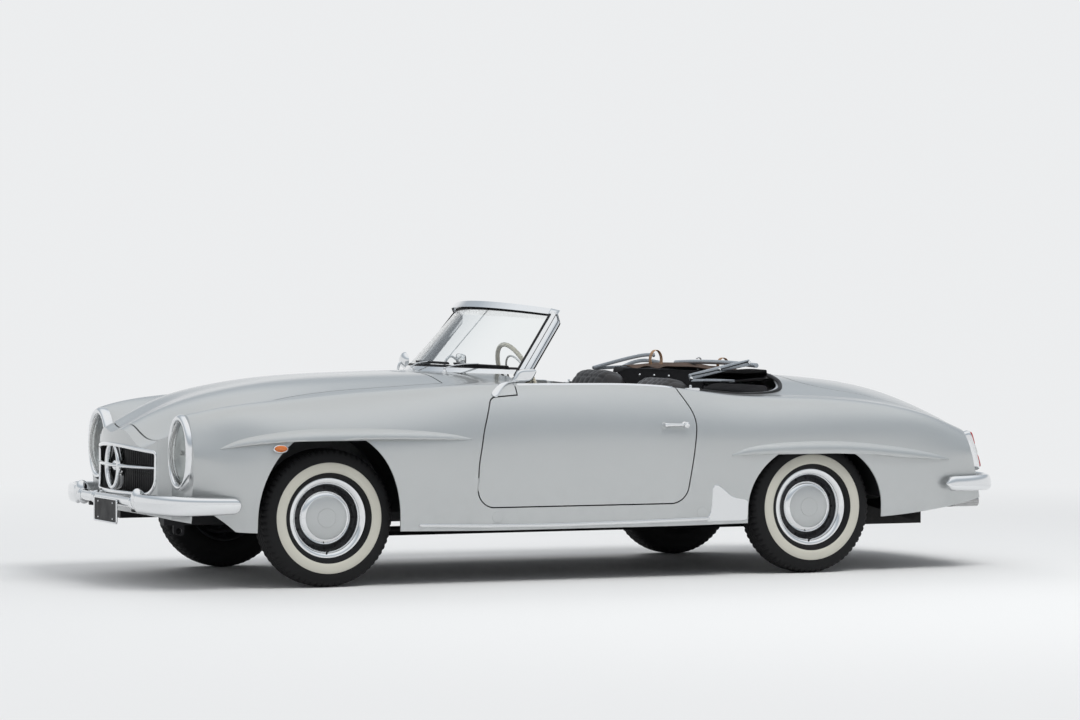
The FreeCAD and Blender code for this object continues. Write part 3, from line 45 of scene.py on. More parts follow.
bl_info = {
    "name": "Open roadster dressing",
    "version": (1, 0, 0),
    "blender": (4, 2, 0),
    "location": "View3D > Sidebar > Roadster",
    "description": "Dresses the packed roadster with its paint, chrome, glass, leather and cloth",
    "category": "Object",
}

HORIZON = (0.84, 0.85, 0.86)
MM = 0.001

# Places of the main parts in the row frame, in millimetres.
FRONT_AXLE, REAR_AXLE = 1330.0, -1070.0
FRONT_SIDE, REAR_SIDE = 715.0, 737.5
HUB_HEIGHT = 310.0

# Points of one shape closer than this, in millimetres, become one point.
MERGE = 0.02


class RoadsterSizes(bpy.types.PropertyGroup):
    """Sizes of the dressing, in millimetres unless a name says otherwise."""

    tyre_radius: FloatProperty(name="Tyre radius", description="Loaded radius", default=309.5, min=250,
                               max=360)
    band_inner: FloatProperty(name="Pale band, inner", description="Inner radius of the pale side band",
                              default=203)
    band_outer: FloatProperty(name="Pale band, outer", description="Outer radius of the pale side band",
                              default=248)
    tread_depth: FloatProperty(name="Tread depth", description="Depth of the tread grooves", default=7)
    tread_blocks: IntProperty(name="Tread blocks", description="Blocks round the tyre", default=66)
    blade_height: FloatProperty(name="Bumper height", description="Bumper blade, top to bottom", default=88)
    pleat_width: FloatProperty(name="Pleat width", description="Width of one seat pleat", default=56)
    pleat_depth: FloatProperty(name="Pleat depth", description="Depth of the seams between pleats", default=5)


class RoadsterColours(bpy.types.PropertyGroup):
    """Colours of the finishes, linear."""

    paint: FloatVectorProperty(
        name="Paint", description="Body paint", subtype="COLOR", default=(0.50, 0.515, 0.515))
    pale_band: FloatVectorProperty(
        name="Side band", description="Pale band of the tyres", subtype="COLOR", default=(0.60, 0.585, 0.51))
    leather: FloatVectorProperty(
        name="Leather", description="Seats", subtype="COLOR", default=(0.011, 0.010, 0.011))
    cloth: FloatVectorProperty(
        name="Top cloth", description="Folded top", subtype="COLOR", default=(0.008, 0.008, 0.010))
    lining: FloatVectorProperty(
        name="Top lining", description="Inside of the top", subtype="COLOR", default=(0.060, 0.036, 0.024))
    # The ivory is the rim's cream made paler than its own tone: painted light against the shade the wheel
    # sits in.
    ivory: FloatVectorProperty(
        name="Ivory", description="Steering wheel", subtype="COLOR", default=(0.84, 0.78, 0.62))
    floor: FloatVectorProperty(
        name="Studio floor", description="Floor and background", subtype="COLOR", default=(0.80, 0.80, 0.79))


# ---- The outer skin, as a formula

# One row for each station along the car, in millimetres. Columns: x, then y and z of the
# lower edge, belly, shoulder, crest, valley and inner shoulder of the left side, then z
# on the car's middle.
STATIONS = np.array([
    (2140, 560, 340, 640, 520, 610, 630, 520, 705, 390, 610, 210, 640, 655),
    (1965, 700, 300, 768, 510, 748, 670, 625, 768, 440, 668, 240, 722, 748),
    (1795, 792, 262, 826, 470, 796, 680, 690, 808, 510, 748, 320, 796, 826),
    (1610, 838, 252, 850, 450, 824, 690, 705, 829, 550, 800, 360, 848, 875),
    (1330, 850, 250, 858, 450, 838, 700, 712, 850, 600, 848, 400, 893, 918),
    (950, 848, 246, 858, 450, 836, 715, 725, 872, 640, 876, 440, 916, 939),
    (560, 845, 240, 858, 450, 832, 730, 745, 888, 670, 898, 450, 930, 948),
    (150, 845, 240, 856, 450, 832, 735, 750, 888, 680, 898, 450, 930, 950),
    (-350, 845, 240, 856, 450, 834, 725, 756, 868, 700, 880, 450, 918, 942),
    (-700, 848, 244, 858, 450, 840, 700, 762, 826, 690, 842, 480, 885, 932),
    (-1070, 850, 250, 860, 450, 846, 690, 764, 814, 670, 826, 480, 868, 925),
    (-1463, 842, 262, 852, 450, 834, 670, 758, 784, 645, 796, 480, 836, 897),
    (-1741, 808, 288, 826, 460, 802, 630, 735, 726, 620, 738, 440, 775, 850),
    (-1955, 760, 322, 775, 480, 752, 590, 680, 652, 580, 672, 410, 710, 772),
    (-2180, 640, 370, 660, 470, 640, 540, 580, 580, 500, 595, 350, 620, 640),
], float)
ROUND_PLACES = np.array([4.3, 6.5, 7.7, 9.3, 11.9, 14.2])
# How many points are looked up on the skin at a time.
BATCH = 20000
SKIN_ALONG = (STATIONS[0, 0] - STATIONS[:, 0]) / 100
SKIN_ROUND = np.concatenate([-ROUND_PLACES[::-1], [0.0], ROUND_PLACES])
SKIN_Y = np.hstack([-STATIONS[:, 1:13:2], np.zeros((len(STATIONS), 1)), STATIONS[:, 11:0:-2]])
SKIN_Z = np.hstack([STATIONS[:, 2:13:2], STATIONS[:, 13:14], STATIONS[:, 12:1:-2]])


def spline_weights(knots, places):
    """Weights of the knots' values, and their slopes, on the natural cubic curve through them.

    In each interval the curve blends its two ends and their bends, and the bends solve
    the system that makes slopes equal on both sides of each knot, with none at the ends.
    """
    count = len(knots)
    gap = np.diff(knots)
    inner = np.arange(1, count - 1)
    system, right = np.eye(count), np.zeros((count, count))
    system[inner, inner - 1] = gap[:-1] / 6
    system[inner, inner] = (gap[:-1] + gap[1:]) / 3
    system[inner, inner + 1] = gap[1:] / 6
    right[inner, inner - 1] = 1 / gap[:-1]
    right[inner, inner] = -1 / gap[:-1] - 1 / gap[1:]
    right[inner, inner + 1] = 1 / gap[1:]
    bend = np.linalg.solve(system, right)
    k = np.clip(np.searchsorted(knots, places) - 1, 0, count - 2)
    b = ((places - knots[k]) / gap[k])[:, None]
    a = 1 - b
    h = gap[k][:, None]
    unit = np.eye(count)
    value = a * unit[k] + b * unit[k + 1]
    value += ((a ** 3 - a) * bend[k] + (b ** 3 - b) * bend[k + 1]) * h ** 2 / 6
    slope = (unit[k + 1] - unit[k]) / h
    slope += ((3 * b ** 2 - 1) * bend[k + 1] - (3 * a ** 2 - 1) * bend[k]) * h / 6
    return value, slope


def unit(vectors):
    """Vectors of length one."""
    length = np.linalg.norm(vectors, axis=-1, keepdims=True)
    return vectors / np.maximum(length, 1e-12)


def skin(x, v):
    """Points and outward directions of the skin at places x along the car and v round it."""
    shape = np.broadcast(x, v).shape
    x, v = (np.broadcast_to(np.asarray(q, float), shape).ravel() for q in (x, v))
    along, along_slope = spline_weights(SKIN_ALONG, (STATIONS[0, 0] - x) / 100)
    round_, round_slope = spline_weights(SKIN_ROUND, v)

    def blend(first, table, second):
        return np.einsum("ni,ni->n", first @ table, second)

    points = xyz(x, blend(along, SKIN_Y, round_), blend(along, SKIN_Z, round_))
    down = xyz(-100.0, blend(along_slope, SKIN_Y, round_), blend(along_slope, SKIN_Z, round_))
    over = xyz(0.0, blend(along, SKIN_Y, round_slope), blend(along, SKIN_Z, round_slope))
    outward = unit(np.cross(over, down))
    return points.reshape(shape + (3,)), outward.reshape(shape + (3,)), over.reshape(shape + (3,))


def place_on_skin(points):
    """Place v round the skin nearest to each point: sampled on its section, then three steps downhill."""
    found = np.zeros(len(points))
    samples = np.linspace(SKIN_ROUND[0], SKIN_ROUND[-1], 285)
    weights, _ = spline_weights(SKIN_ROUND, samples)
    for start in range(0, len(points), BATCH):
        some = points[start:start + BATCH]
        along, _ = spline_weights(SKIN_ALONG, (STATIONS[0, 0] - some[:, 0]) / 100)
        y, z = along @ SKIN_Y @ weights.T, along @ SKIN_Z @ weights.T
        near = np.argmin((y - some[:, 1:2]) ** 2 + (z - some[:, 2:3]) ** 2, axis=1)
        found[start:start + BATCH] = samples[near]
    for _ in range(3):
        here, _, over = skin(points[:, 0], found)
        step = ((points - here) * over).sum(1) / np.maximum((over ** 2).sum(1), 1e-9)
        found = np.clip(found + step, SKIN_ROUND[0], SKIN_ROUND[-1])
    return found


def flank(x, z, side):
    """Points and outward directions of the side at places x along the car and heights z."""
    x, z = np.broadcast_arrays(np.asarray(x, float), np.asarray(z, float))
    v = np.interp(-z, [-900, -760, -450, -240], [7.2, 9.3, 11.9, 14.2])
    for _ in range(12):
        here, _, over = skin(x, v)
        v = np.clip(v + np.clip((z - here[..., 2]) / np.minimum(over[..., 2], -8.0), -0.6, 0.6), 6.6, 14.2)
    here, outward, _ = skin(x, v)
    flip = np.array([1.0, side, 1.0])
    return here * flip, outward * flip


def crown(x, y):
    """Points and outward directions of the top at places x along and y across the car."""
    x, y = np.broadcast_arrays(np.asarray(x, float), np.asarray(y, float))
    v = np.abs(y) / 100.0
    for _ in range(12):
        here, _, over = skin(x, v)
        v = np.clip(v + np.clip((np.abs(y) - here[..., 1]) / np.maximum(over[..., 1], 8.0), -0.6, 0.6), 0,
                    9.5)
    here, outward, _ = skin(x, v)
    flip = xyz(1.0, np.where(y < 0, -1.0, 1.0), 1.0)
    return here * flip, outward * flip


# ---- Surfaces

def around(count):
    """Angles spread evenly over one whole turn."""
    return np.linspace(0, 2 * math.pi, count, endpoint=False)


def xyz(x, y, z):
    """Points from three numbers or arrays that are spread to one shape."""
    return np.stack(np.broadcast_arrays(x, y, z), -1)


def curve(points, count, closed=False):
    """Smooth line through points: a cubic piece between each two, with slopes from their neighbours.

    The places are spread evenly over its length.
    """
    points = np.asarray(points, float)
    if closed:
        points = np.vstack([points[-2:], points, points[:3]])
    gaps = np.linalg.norm(np.diff(points, axis=0), axis=1) ** 0.5
    knots = np.concatenate([[0], np.cumsum(gaps)])
    fine = np.linspace(knots[2], knots[-3], 1600) if closed else np.linspace(0, knots[-1], 1600)
    dense = spline_weights(knots, fine)[0] @ points
    length = np.concatenate([[0], np.cumsum(np.linalg.norm(np.diff(dense, axis=0), axis=1))])
    spots = np.linspace(0, length[-1], count + 1)[:-1] if closed else np.linspace(0, length[-1], count)
    return np.stack([np.interp(spots, length, dense[:, i]) for i in range(points.shape[1])], -1)


def rounded_outline(corners, count):
    """Closed outline of straight runs and tangent arcs, from (a, b, radius) at each corner, spread evenly.

    An arc touches both runs at radius times the tangent of half the turn from its corner.
    """
    spots = np.array(corners, float)
    middle, radius = spots[:, :2], spots[:, 2]
    before = unit(np.roll(middle, 1, 0) - middle)
    after = unit(np.roll(middle, -1, 0) - middle)
    half = np.arccos(np.clip((before * after).sum(1), -1, 1)) / 2
    centre = middle + unit(before + after) * (radius / np.sin(half))[:, None]
    first = middle + before * (radius / np.tan(half))[:, None] - centre
    last = middle + after * (radius / np.tan(half))[:, None] - centre
    share = np.linspace(0, 1, 60)[None, :, None]
    arcs = unit(first[:, None] * (1 - share) + last[:, None] * share)
    arcs = arcs * radius[:, None, None] + centre[:, None]
    dense = arcs.reshape(-1, 2)
    dense = np.vstack([dense, dense[:1]])
    length = np.concatenate([[0], np.cumsum(np.linalg.norm(np.diff(dense, axis=0), axis=1))])
    places = np.linspace(0, length[-1], count + 1)[:-1]
    return np.stack([np.interp(places, length, dense[:, i]) for i in (0, 1)], -1)


def round_section(width, height, power=2.0, count=24):
    """Closed outline |a / width|^power + |b / height|^power = 1."""
    t = around(count)
    c, s = np.cos(t), np.sin(t)
    return np.stack([width * np.sign(c) * np.abs(c) ** (2 / power),
                     height * np.sign(s) * np.abs(s) ** (2 / power)], -1)


def swept(path, section, out, size=None, closed=False):
    """A section carried along a path: path + a * across + b * out, out kept square to the path."""
    path = np.asarray(path, float)
    tangent = unit(np.roll(path, -1, 0) - np.roll(path, 1, 0) if closed else np.gradient(path, axis=0))
    across = unit(np.cross(tangent, np.broadcast_to(out, path.shape)))
    out = unit(np.cross(across, tangent))
    size = np.ones((1, 2)) if size is None else size
    a = section[None, :, 0, None] * size[:, None, 0, None]
    b = section[None, :, 1, None] * size[:, None, 1, None]
    return path[:, None] + a * across[:, None] + b * out[:, None]


def turned(profile, centre, axis, side, count):
    """A profile of (radius, place along the axis) turned round an axis through the centre."""
    profile = np.asarray(profile, float)
    t = around(count)[:, None]
    r, a = profile[None, :, 0], profile[None, :, 1] * side
    flat, high = r * np.cos(t), r * np.sin(t)
    a = np.broadcast_to(a, flat.shape)
    order = {"x": (a, flat, high), "y": (flat, a, high), "z": (flat, high, a)}[axis]
    return np.stack(order, -1) + np.asarray(centre, float)


def tube(points, radius, count, sides):
    """A round bar along a smooth line through points."""
    path = curve(points, count)
    steep = np.abs(unit(np.gradient(path, axis=0))[:, 2]).mean() > 0.8
    return swept(path, round_section(radius, radius, count=sides), (1.0, 0, 0) if steep else (0, 0, 1.0))


def pillow(low, high, thin, outline, edge, count=34, share=3):
    """A closed pad: a super-oval outline across its thin axis, falling away to its edge by another power."""
    low, high = np.asarray(low, float), np.asarray(high, float)
    u = np.linspace(-math.pi / 2, math.pi / 2, count)[:, None]
    v = around(share * count)[None, :]

    def soft(q, power):
        return np.sign(q) * np.abs(q) ** (2 / power)

    reach = soft(np.cos(u), edge)
    flat = [reach * soft(np.cos(v), outline), reach * soft(np.sin(v), outline)]
    flat.insert(thin, soft(np.sin(u), edge) + 0 * v)
    return (low + high) / 2 + np.stack(flat, -1) * (high - low) / 2


def rounded_box(low, high, power, count):
    """A sphere's directions raised to a power and scaled to a box's half sizes."""
    return pillow(low, high, 2, power, power, count, 2)


class Shape:
    """The surfaces that make one piece, gathered as arrays of points and faces."""

    def __init__(self):
        self.points, self.faces, self.finish, self.count = [], [], [], 0

    def add(self, grid, close=(False, False), finish=0, caps=False):
        """Add a grid of points; finish is one number, or one for each column of faces."""
        rows, columns = grid.shape[:2]
        r = np.arange(rows if close[0] else rows - 1)
        c = np.arange(columns if close[1] else columns - 1)
        a, b = np.meshgrid(r, c, indexing="ij")
        a2, b2 = (a + 1) % rows, (b + 1) % columns
        quads = np.stack([a * columns + b, a2 * columns + b, a2 * columns + b2, a * columns + b2], -1)
        quads = quads.reshape(-1, 4) + self.count
        kinds = np.broadcast_to(np.asarray(finish), (len(r), len(c))).ravel()
        self.faces += quads.tolist()
        self.finish += kinds.tolist()
        if caps:
            first = np.arange(columns) + self.count
            last = first + (rows - 1) * columns
            kind = int(kinds[0])
            self.faces += [first[::-1].tolist(), last.tolist()]
            self.finish += [kind, kind]
        self.points.append(grid.reshape(-1, 3))
        self.count += rows * columns
        return self

    def turn(self, profile, centre, axis, side, count, finish=0):
        """Add a turned profile."""
        return self.add(turned(profile, centre, axis, side, count), (True, False), finish)

    def rod(self, grid, finish=0):
        """Add a section carried along a path, its two ends closed."""
        return self.add(grid, (False, True), finish, True)

    def both(self, grid, **kinds):
        """Add a grid and its mirror on the other side of the car."""
        self.add(grid, **kinds)
        return self.add(grid * np.array([1.0, -1.0, 1.0]), **kinds)

    def build(self, name, body, kinds, slot, smooth, stands_for=None):
        """Make the mesh in metres, join doubled points, turn faces outwards and ride on a body.

        The piece may stand for one node of the source.
        """
        mesh = bpy.data.meshes.new(name)
        mesh.from_pydata((np.vstack(self.points) * MM).tolist(), [], self.faces)
        for kind in kinds:
            mesh.materials.append(finish_of(kind))
        mesh.polygons.foreach_set("material_index", np.array(self.finish, np.int32))
        work = bmesh.new()
        work.from_mesh(mesh)
        bmesh.ops.remove_doubles(work, verts=work.verts, dist=MERGE * MM)
        bmesh.ops.dissolve_degenerate(work, edges=work.edges, dist=MERGE * MM)
        bmesh.ops.recalc_face_normals(work, faces=work.faces)
        work.to_mesh(mesh)
        work.free()
        mesh.shade_smooth()
        mesh.set_sharp_from_angle(angle=math.radians(smooth))
        item = bpy.data.objects.new(name, mesh)
        bpy.context.scene.collection.objects.link(item)
        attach(item, body)
        if stands_for:
            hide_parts(stands_for)
        return item


# ---- Finishes

class Field:
    """A value that changes over a surface: a socket that takes part in Python arithmetic."""

    def __init__(self, nodes, socket):
        self.nodes, self.socket = nodes, socket

    def math(self, operation, *others):
        """One step of arithmetic, as a node."""
        return self.nodes.node("ShaderNodeMath", {"operation": operation}, (self,) + others)

    def other(self, output):
        """Another output of the same node."""
        return Field(self.nodes, self.socket.node.outputs[output])

    def __add__(self, other):
        return self.math("ADD", other)

    def __sub__(self, other):
        return self.math("SUBTRACT", other)

    def __rsub__(self, other):
        return self.nodes.node("ShaderNodeMath", {"operation": "SUBTRACT"}, (other, self))

    def __mul__(self, other):
        return self.math("MULTIPLY", other)

    __radd__ = __add__
    __rmul__ = __mul__

    def between(self, low, high):
        """0 below low, 1 above high, smooth between."""
        return self.nodes.node("ShaderNodeMapRange", {"interpolation_type": "SMOOTHSTEP"}, {
            "Value": self, "From Min": low, "From Max": high, "To Min": 0.0, "To Max": 1.0})

    def tint(self, dark, light):
        """A colour from dark to light."""
        return self.nodes.node("ShaderNodeMix", {"data_type": "RGBA"}, {
            "Factor": self, 6: tuple(dark) + (1.0,), 7: tuple(light) + (1.0,)}, output=2)

    def shades(self, colour, dark, light):
        """One colour, from a darker share of it to a lighter one."""
        return self.tint(scaled(colour, dark), scaled(colour, light))


class Nodes:
    """The nodes of a material or of the world."""

    def __init__(self, tree):
        self.tree = tree

    def node(self, kind, settings=None, inputs=(), output=0):
        """A new node with its settings and inputs, as the field of one output."""
        node = self.tree.nodes.new(kind)
        for key, value in (settings or {}).items():
            setattr(node, key, value)
        pairs = inputs.items() if isinstance(inputs, dict) else enumerate(inputs)
        for key, value in pairs:
            if isinstance(value, Field):
                self.tree.links.new(value.socket, node.inputs[key])
            else:
                node.inputs[key].default_value = value
        return Field(self, node.outputs[output])


class Finish(Nodes):
    """One material: its even numbers go straight on the shader, and what varies comes from nodes."""

    def __init__(self, name, colour, **even):
        self.material = bpy.data.materials.new(name)
        self.material.use_nodes = True
        super().__init__(self.material.node_tree)
        self.shader = next(n for n in self.tree.nodes if n.type == "BSDF_PRINCIPLED")
        self.output = next(n for n in self.tree.nodes if n.type == "OUTPUT_MATERIAL")
        self.shader.inputs["Base Color"].default_value = tuple(colour) + (1.0,)
        self.material.diffuse_color = tuple(colour) + (1.0,)
        for key, value in even.items():
            self.shader.inputs[key.replace("_", " ").title().replace("Ior", "IOR")].default_value = value
        self.place = None

    def spot(self):
        """Place on the object, in metres."""
        if self.place is None:
            self.place = self.node("ShaderNodeTexCoord", output=3)
        return self.place

    def axes(self):
        """The three numbers of the place."""
        apart = self.node("ShaderNodeSeparateXYZ", None, [self.spot()])
        return [apart.other(i) for i in range(3)]

    def noise(self, scale, detail, roughness=0.5, stretch=(1.0, 1.0, 1.0)):
        """Cloudy noise, between 0 and 1."""
        spot = self.spot()
        if stretch != (1.0, 1.0, 1.0):
            spot = self.node("ShaderNodeMapping", None, {"Vector": spot, "Scale": stretch})
        return self.node("ShaderNodeTexNoise", None, {
            "Vector": spot, "Scale": scale, "Detail": detail, "Roughness": roughness})

    def cells(self, scale, feature="F1"):
        """Distance inside small cells."""
        return self.node("ShaderNodeTexVoronoi", {"feature": feature},
                         {"Vector": self.spot(), "Scale": scale})

    def feed(self, **fields):
        """Lead fields into the shader."""
        for key, field in fields.items():
            self.tree.links.new(field.socket, self.shader.inputs[key.replace("_", " ").title()])
        return self

    def bump(self, height, strength, distance):
        """Fine relief from a field."""
        normal = self.node("ShaderNodeBump", None,
                           {"Height": height, "Strength": strength, "Distance": distance})
        self.tree.links.new(normal.socket, self.shader.inputs["Normal"])
        return self


# Ripples of threads and of lens ribs: turns of the sine for each metre. Paint flakes: noise cells.
THREADS, RIBS, FLAKES = 1400, 900, 2600


def scaled(colour, share):
    """A colour made darker or lighter."""
    return tuple(min(1.0, c * share) for c in colour)


def body_paint(colour):
    """Satin metallic lacquer: fine flakes under a clear coat, faint dust near the sills."""
    made = Finish("silver_lacquer", colour, metallic=0.72, roughness=0.30, coat_weight=0.6,
                  coat_roughness=0.06)
    flakes = made.noise(FLAKES, 1.0)
    clouds = made.noise(1.1, 2.0)
    height = made.axes()[2]
    dust = (1 - height.between(0.25, 0.55)) * made.noise(14, 4.0, 0.6).between(0.35, 0.75)
    mask = clouds.between(0.3, 0.7) * 0.35 + flakes.between(0.35, 0.65) * 0.4 + (1 - dust) * 0.25
    made.feed(base_color=mask.shades(colour, 0.93, 1.05),
              roughness=0.27 + clouds * 0.05 + dust * 0.10 + flakes * 0.03)
    return made.bump(flakes, 0.02, 0.0004).material


def cap_paint(colour):
    """The same lacquer on the small round caps, without road dust."""
    made = Finish("cap_lacquer", colour, metallic=0.5, roughness=0.34, coat_weight=0.5, coat_roughness=0.08)
    flakes = made.noise(FLAKES, 1.0)
    made.feed(base_color=flakes.shades(colour, 0.92, 1.06))
    return made.material


def bright_metal(name="bright_plating", colour=(0.82, 0.83, 0.84), rough=0.06):
    """Plating: polished, with faint streaks of polish and a few pits."""
    made = Finish(name, colour, metallic=1.0, roughness=rough)
    streaks = made.noise(60, 4.0, 0.6, (1.0, 1.0, 6.0))
    pits = made.cells(420).between(0.0, 0.08)
    made.feed(roughness=streaks.between(0.45, 0.85) * 0.07 + rough + (1 - pits) * 0.10,
              base_color=(streaks * 0.5 + pits * 0.5).tint(scaled(colour, 0.86), colour))
    return made.bump(streaks, 0.03, 0.0003).material


def dull_metal(name, colour, rough=0.45, metallic=0.7):
    """Painted or plain steel of the underside: mottled, with patches of road film."""
    made = Finish(name, colour, metallic=metallic, roughness=rough)
    grit = made.noise(55, 6.0, 0.65)
    film = made.noise(6, 4.0, 0.6)
    made.feed(base_color=(grit * 0.6 + film * 0.4).shades(colour, 0.6, 1.5),
              roughness=rough - 0.08 + film * 0.25)
    return made.bump(grit, 0.25, 0.0008).material


def pipe_steel():
    """The exhaust: sooty dark steel under the car, a plated tip at its rear end."""
    made = Finish("pipe_steel", (0.02, 0.02, 0.02), metallic=0.9, roughness=0.5)
    tip = 1 - made.axes()[0].between(-2.02, -1.99)
    shine = tip * 0.94 + made.noise(40, 5.0, 0.6) * 0.05
    made.feed(base_color=shine.tint((0.010, 0.010, 0.010), (0.62, 0.62, 0.62)), roughness=0.55 - tip * 0.35)
    return made.bump(made.noise(55, 6.0, 0.65), 0.2, 0.0008).material


def rubber(name, colour, rough):
    """Moulded rubber: fine grain and a dusty bloom."""
    made = Finish(name, colour, roughness=rough, specular_ior_level=0.22)
    grain = made.noise(900, 3.0)
    bloom = made.noise(9, 4.0, 0.6).between(0.35, 0.8)
    made.feed(base_color=bloom.tint(colour, scaled(colour, 1.6)), roughness=rough - 0.05 + bloom * 0.15)
    return made.bump(grain, 0.15, 0.0005).material


def side_band(colour):
    """Pale rubber of the side band, a little yellowed and scuffed."""
    made = Finish("pale_band", colour, roughness=0.55, specular_ior_level=0.3)
    scuffs = made.noise(24, 6.0, 0.7).between(0.55, 0.8)
    stain = made.noise(5, 3.0)
    made.feed(base_color=(stain * 0.5 + scuffs * 0.5).tint(colour, scaled(colour, 0.78)),
              roughness=0.48 + scuffs * 0.2)
    return made.bump(made.noise(500, 3.0), 0.1, 0.0005).material


def hide(name, colour, rough=0.42):
    """Smooth upholstery leather: small cells, soft creases, rubbed sheen."""
    made = Finish(name, colour, roughness=rough, specular_ior_level=0.5, coat_weight=0.08, coat_roughness=0.3)
    grain = made.cells(520, "DISTANCE_TO_EDGE").between(0.0, 0.12)
    crease = made.noise(38, 6.0, 0.65)
    worn = made.noise(5, 3.0).between(0.4, 0.7)
    made.feed(base_color=(worn * 0.6 + grain * 0.4).shades(colour, 0.75, 1.7),
              roughness=rough + 0.08 - worn * 0.14)
    return made.bump(grain * 0.5 + crease, 0.22, 0.0009).material


def cloth(name, colour):
    """Woven cloth: threads both ways, nap, and folds rubbed paler."""
    made = Finish(name, colour, roughness=0.92, specular_ior_level=0.2, sheen_weight=0.08,
                  sheen_roughness=0.5)
    x, y, z = made.axes()
    warp = ((x + z * 0.4) * THREADS).math("SINE")
    weft = ((y + z * 0.6) * THREADS).math("SINE")
    weave = warp * weft * 0.5 + 0.5
    rubbed = made.noise(11, 5.0, 0.6).between(0.45, 0.8)
    made.feed(base_color=(weave * 0.35 + rubbed * 0.65).shades(colour, 0.8, 1.9),
              roughness=0.85 + weave * 0.1)
    return made.bump(weave, 0.3, 0.0006).material


def clear_glass(name, colour, rough=0.0):
    """Clear pane with a faint film of dust."""
    made = Finish(name, colour, roughness=rough, transmission_weight=1.0, ior=1.46)
    film = made.noise(7, 5.0, 0.6).between(0.5, 0.9)
    made.feed(roughness=rough + film * 0.03)
    return made.material


def lens(name, colour):
    """Moulded signal lens: clear coloured plastic with small ribs inside."""
    made = Finish(name, colour, roughness=0.12, transmission_weight=0.35, ior=1.49, coat_weight=0.4)
    ribs = (made.axes()[2] * RIBS).math("SINE") * 0.5 + 0.5
    made.feed(base_color=ribs.shades(colour, 0.6, 1.25))
    return made.bump(ribs, 0.25, 0.0008).material


def ivory_gloss(colour):
    """Moulded rim material with fine age clouding."""
    made = Finish("ivory_gloss", colour, roughness=0.22, coat_weight=0.5, coat_roughness=0.06)
    age = made.noise(35, 4.0, 0.6)
    made.feed(base_color=age.shades(colour, 0.86, 1.06), roughness=0.18 + age * 0.1)
    return made.material


finishes = {}


def make_finishes(colours):
    """All finishes of the car, made once."""
    if finishes:
        return finishes
    paint = tuple(colours.paint)
    finishes.update(
        paint=body_paint(paint),
        bright=bright_metal(),
        trim=bright_metal("polished_trim", (0.74, 0.75, 0.76), 0.16),
        seal=rubber("door_seal", (0.014, 0.014, 0.015), 0.6),
        tyre=rubber("tyre_rubber", (0.009, 0.009, 0.0095), 0.7),
        band=side_band(tuple(colours.pale_band)),
        wheel_dark=dull_metal("wheel_lacquer", (0.03, 0.031, 0.034), 0.28, 0.2),
        cap_paint=cap_paint(paint),
        chassis=dull_metal("chassis_black", (0.024, 0.024, 0.026)),
        engine=dull_metal("cast_block", (0.16, 0.165, 0.17), 0.5, 0.8),
        pipe=pipe_steel(),
        leather=hide("pleated_leather", tuple(colours.leather)),
        tan=hide("strap_leather", (0.30, 0.17, 0.085), 0.5),
        cloth=cloth("top_cloth", tuple(colours.cloth)),
        lining=cloth("top_lining", tuple(colours.lining)),
        bow=dull_metal("bow_lacquer", (0.33, 0.36, 0.39), 0.32, 0.5),
        ivory=ivory_gloss(tuple(colours.ivory)),
        glass=clear_glass("screen_pane", (0.975, 0.99, 0.985)),
        lamp_glass=clear_glass("lamp_pane", (0.84, 0.86, 0.85), 0.02),
        red=lens("red_lens", (0.62, 0.012, 0.012)),
        clear=lens("clear_lens", (0.80, 0.80, 0.78)),
        amber=lens("amber_lens", (0.85, 0.20, 0.02)),
        # Lamp bowls and mirror glasses take this plating, painted near black: painted shade for the dark
        # reflections seen in them, where real silvering is bright.
        mirror=bright_metal("reflector_painted_dark", (0.12, 0.12, 0.115), 0.34),
        black=rubber("black_moulding", (0.012, 0.012, 0.013), 0.5),
        plate=rubber("plate_enamel", (0.007, 0.007, 0.008), 0.5),
        dial=rubber("dial_face", (0.02, 0.02, 0.02), 0.3),
        mat=rubber("floor_mat", (0.022, 0.022, 0.024), 0.7),
    )
    return finishes


def finish_of(kind):
    """The finish of one kind; all are made at the first call."""
    return make_finishes(bpy.context.scene.roadster_colours)[kind]


# ---- Body panels

PANELS = {
    "front_fenders": "root", "rear_fenders": "root", "sills": "root", "nose_panel": "root",
    "cowl_panel": "root", "rear_deck_panel": "root", "hood": "hood", "trunk_lid": "trunk_lid",
    "door_left": "door_left", "door_right": "door_right",
}
SKIN_REACH = 1.2
SAME_WAY = math.cos(math.radians(16))
TRIM_FRONT, TRIM_LOW = 402.0, 680.0


def joined_mesh(node, name, kinds, angle):
    """A copy of a node's mesh with its doubled points merged and its round faces smooth."""
    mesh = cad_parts[node].data.copy()
    mesh.name = name
    mesh.materials.clear()
    for kind in kinds:
        mesh.materials.append(finish_of(kind))
    work = bmesh.new()
    work.from_mesh(mesh)
    bmesh.ops.remove_doubles(work, verts=work.verts, dist=2e-5)
    work.to_mesh(mesh)
    work.free()
    mesh.shade_smooth()
    mesh.set_sharp_from_angle(angle=math.radians(angle))
    return mesh


def placed(mesh, body):
    """The piece of a finished mesh, riding on a body."""
    item = bpy.data.objects.new(mesh.name, mesh)
    bpy.context.scene.collection.objects.link(item)
    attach(item, body)
    return item


def copied_node(node, body, kind, angle):
    """A smooth copy of a node that stands for it."""
    item = placed(joined_mesh(node, node + "_finished", [kind], angle), body)
    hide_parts(node)


def repaint(node, kind):
    """Give a node that stays its finish."""
    item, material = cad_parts[node], finish_of(kind)
    if not item.material_slots:
        item.data.materials.append(material)
    for place in item.material_slots:
        place.material = material


def values_of(group, name, width, kind=np.float32):
    """One property of every part of a mesh, as an array."""
    flat = np.zeros(len(group) * width, kind)
    group.foreach_get(name, flat)
    return flat.reshape(-1, width) if width > 1 else flat


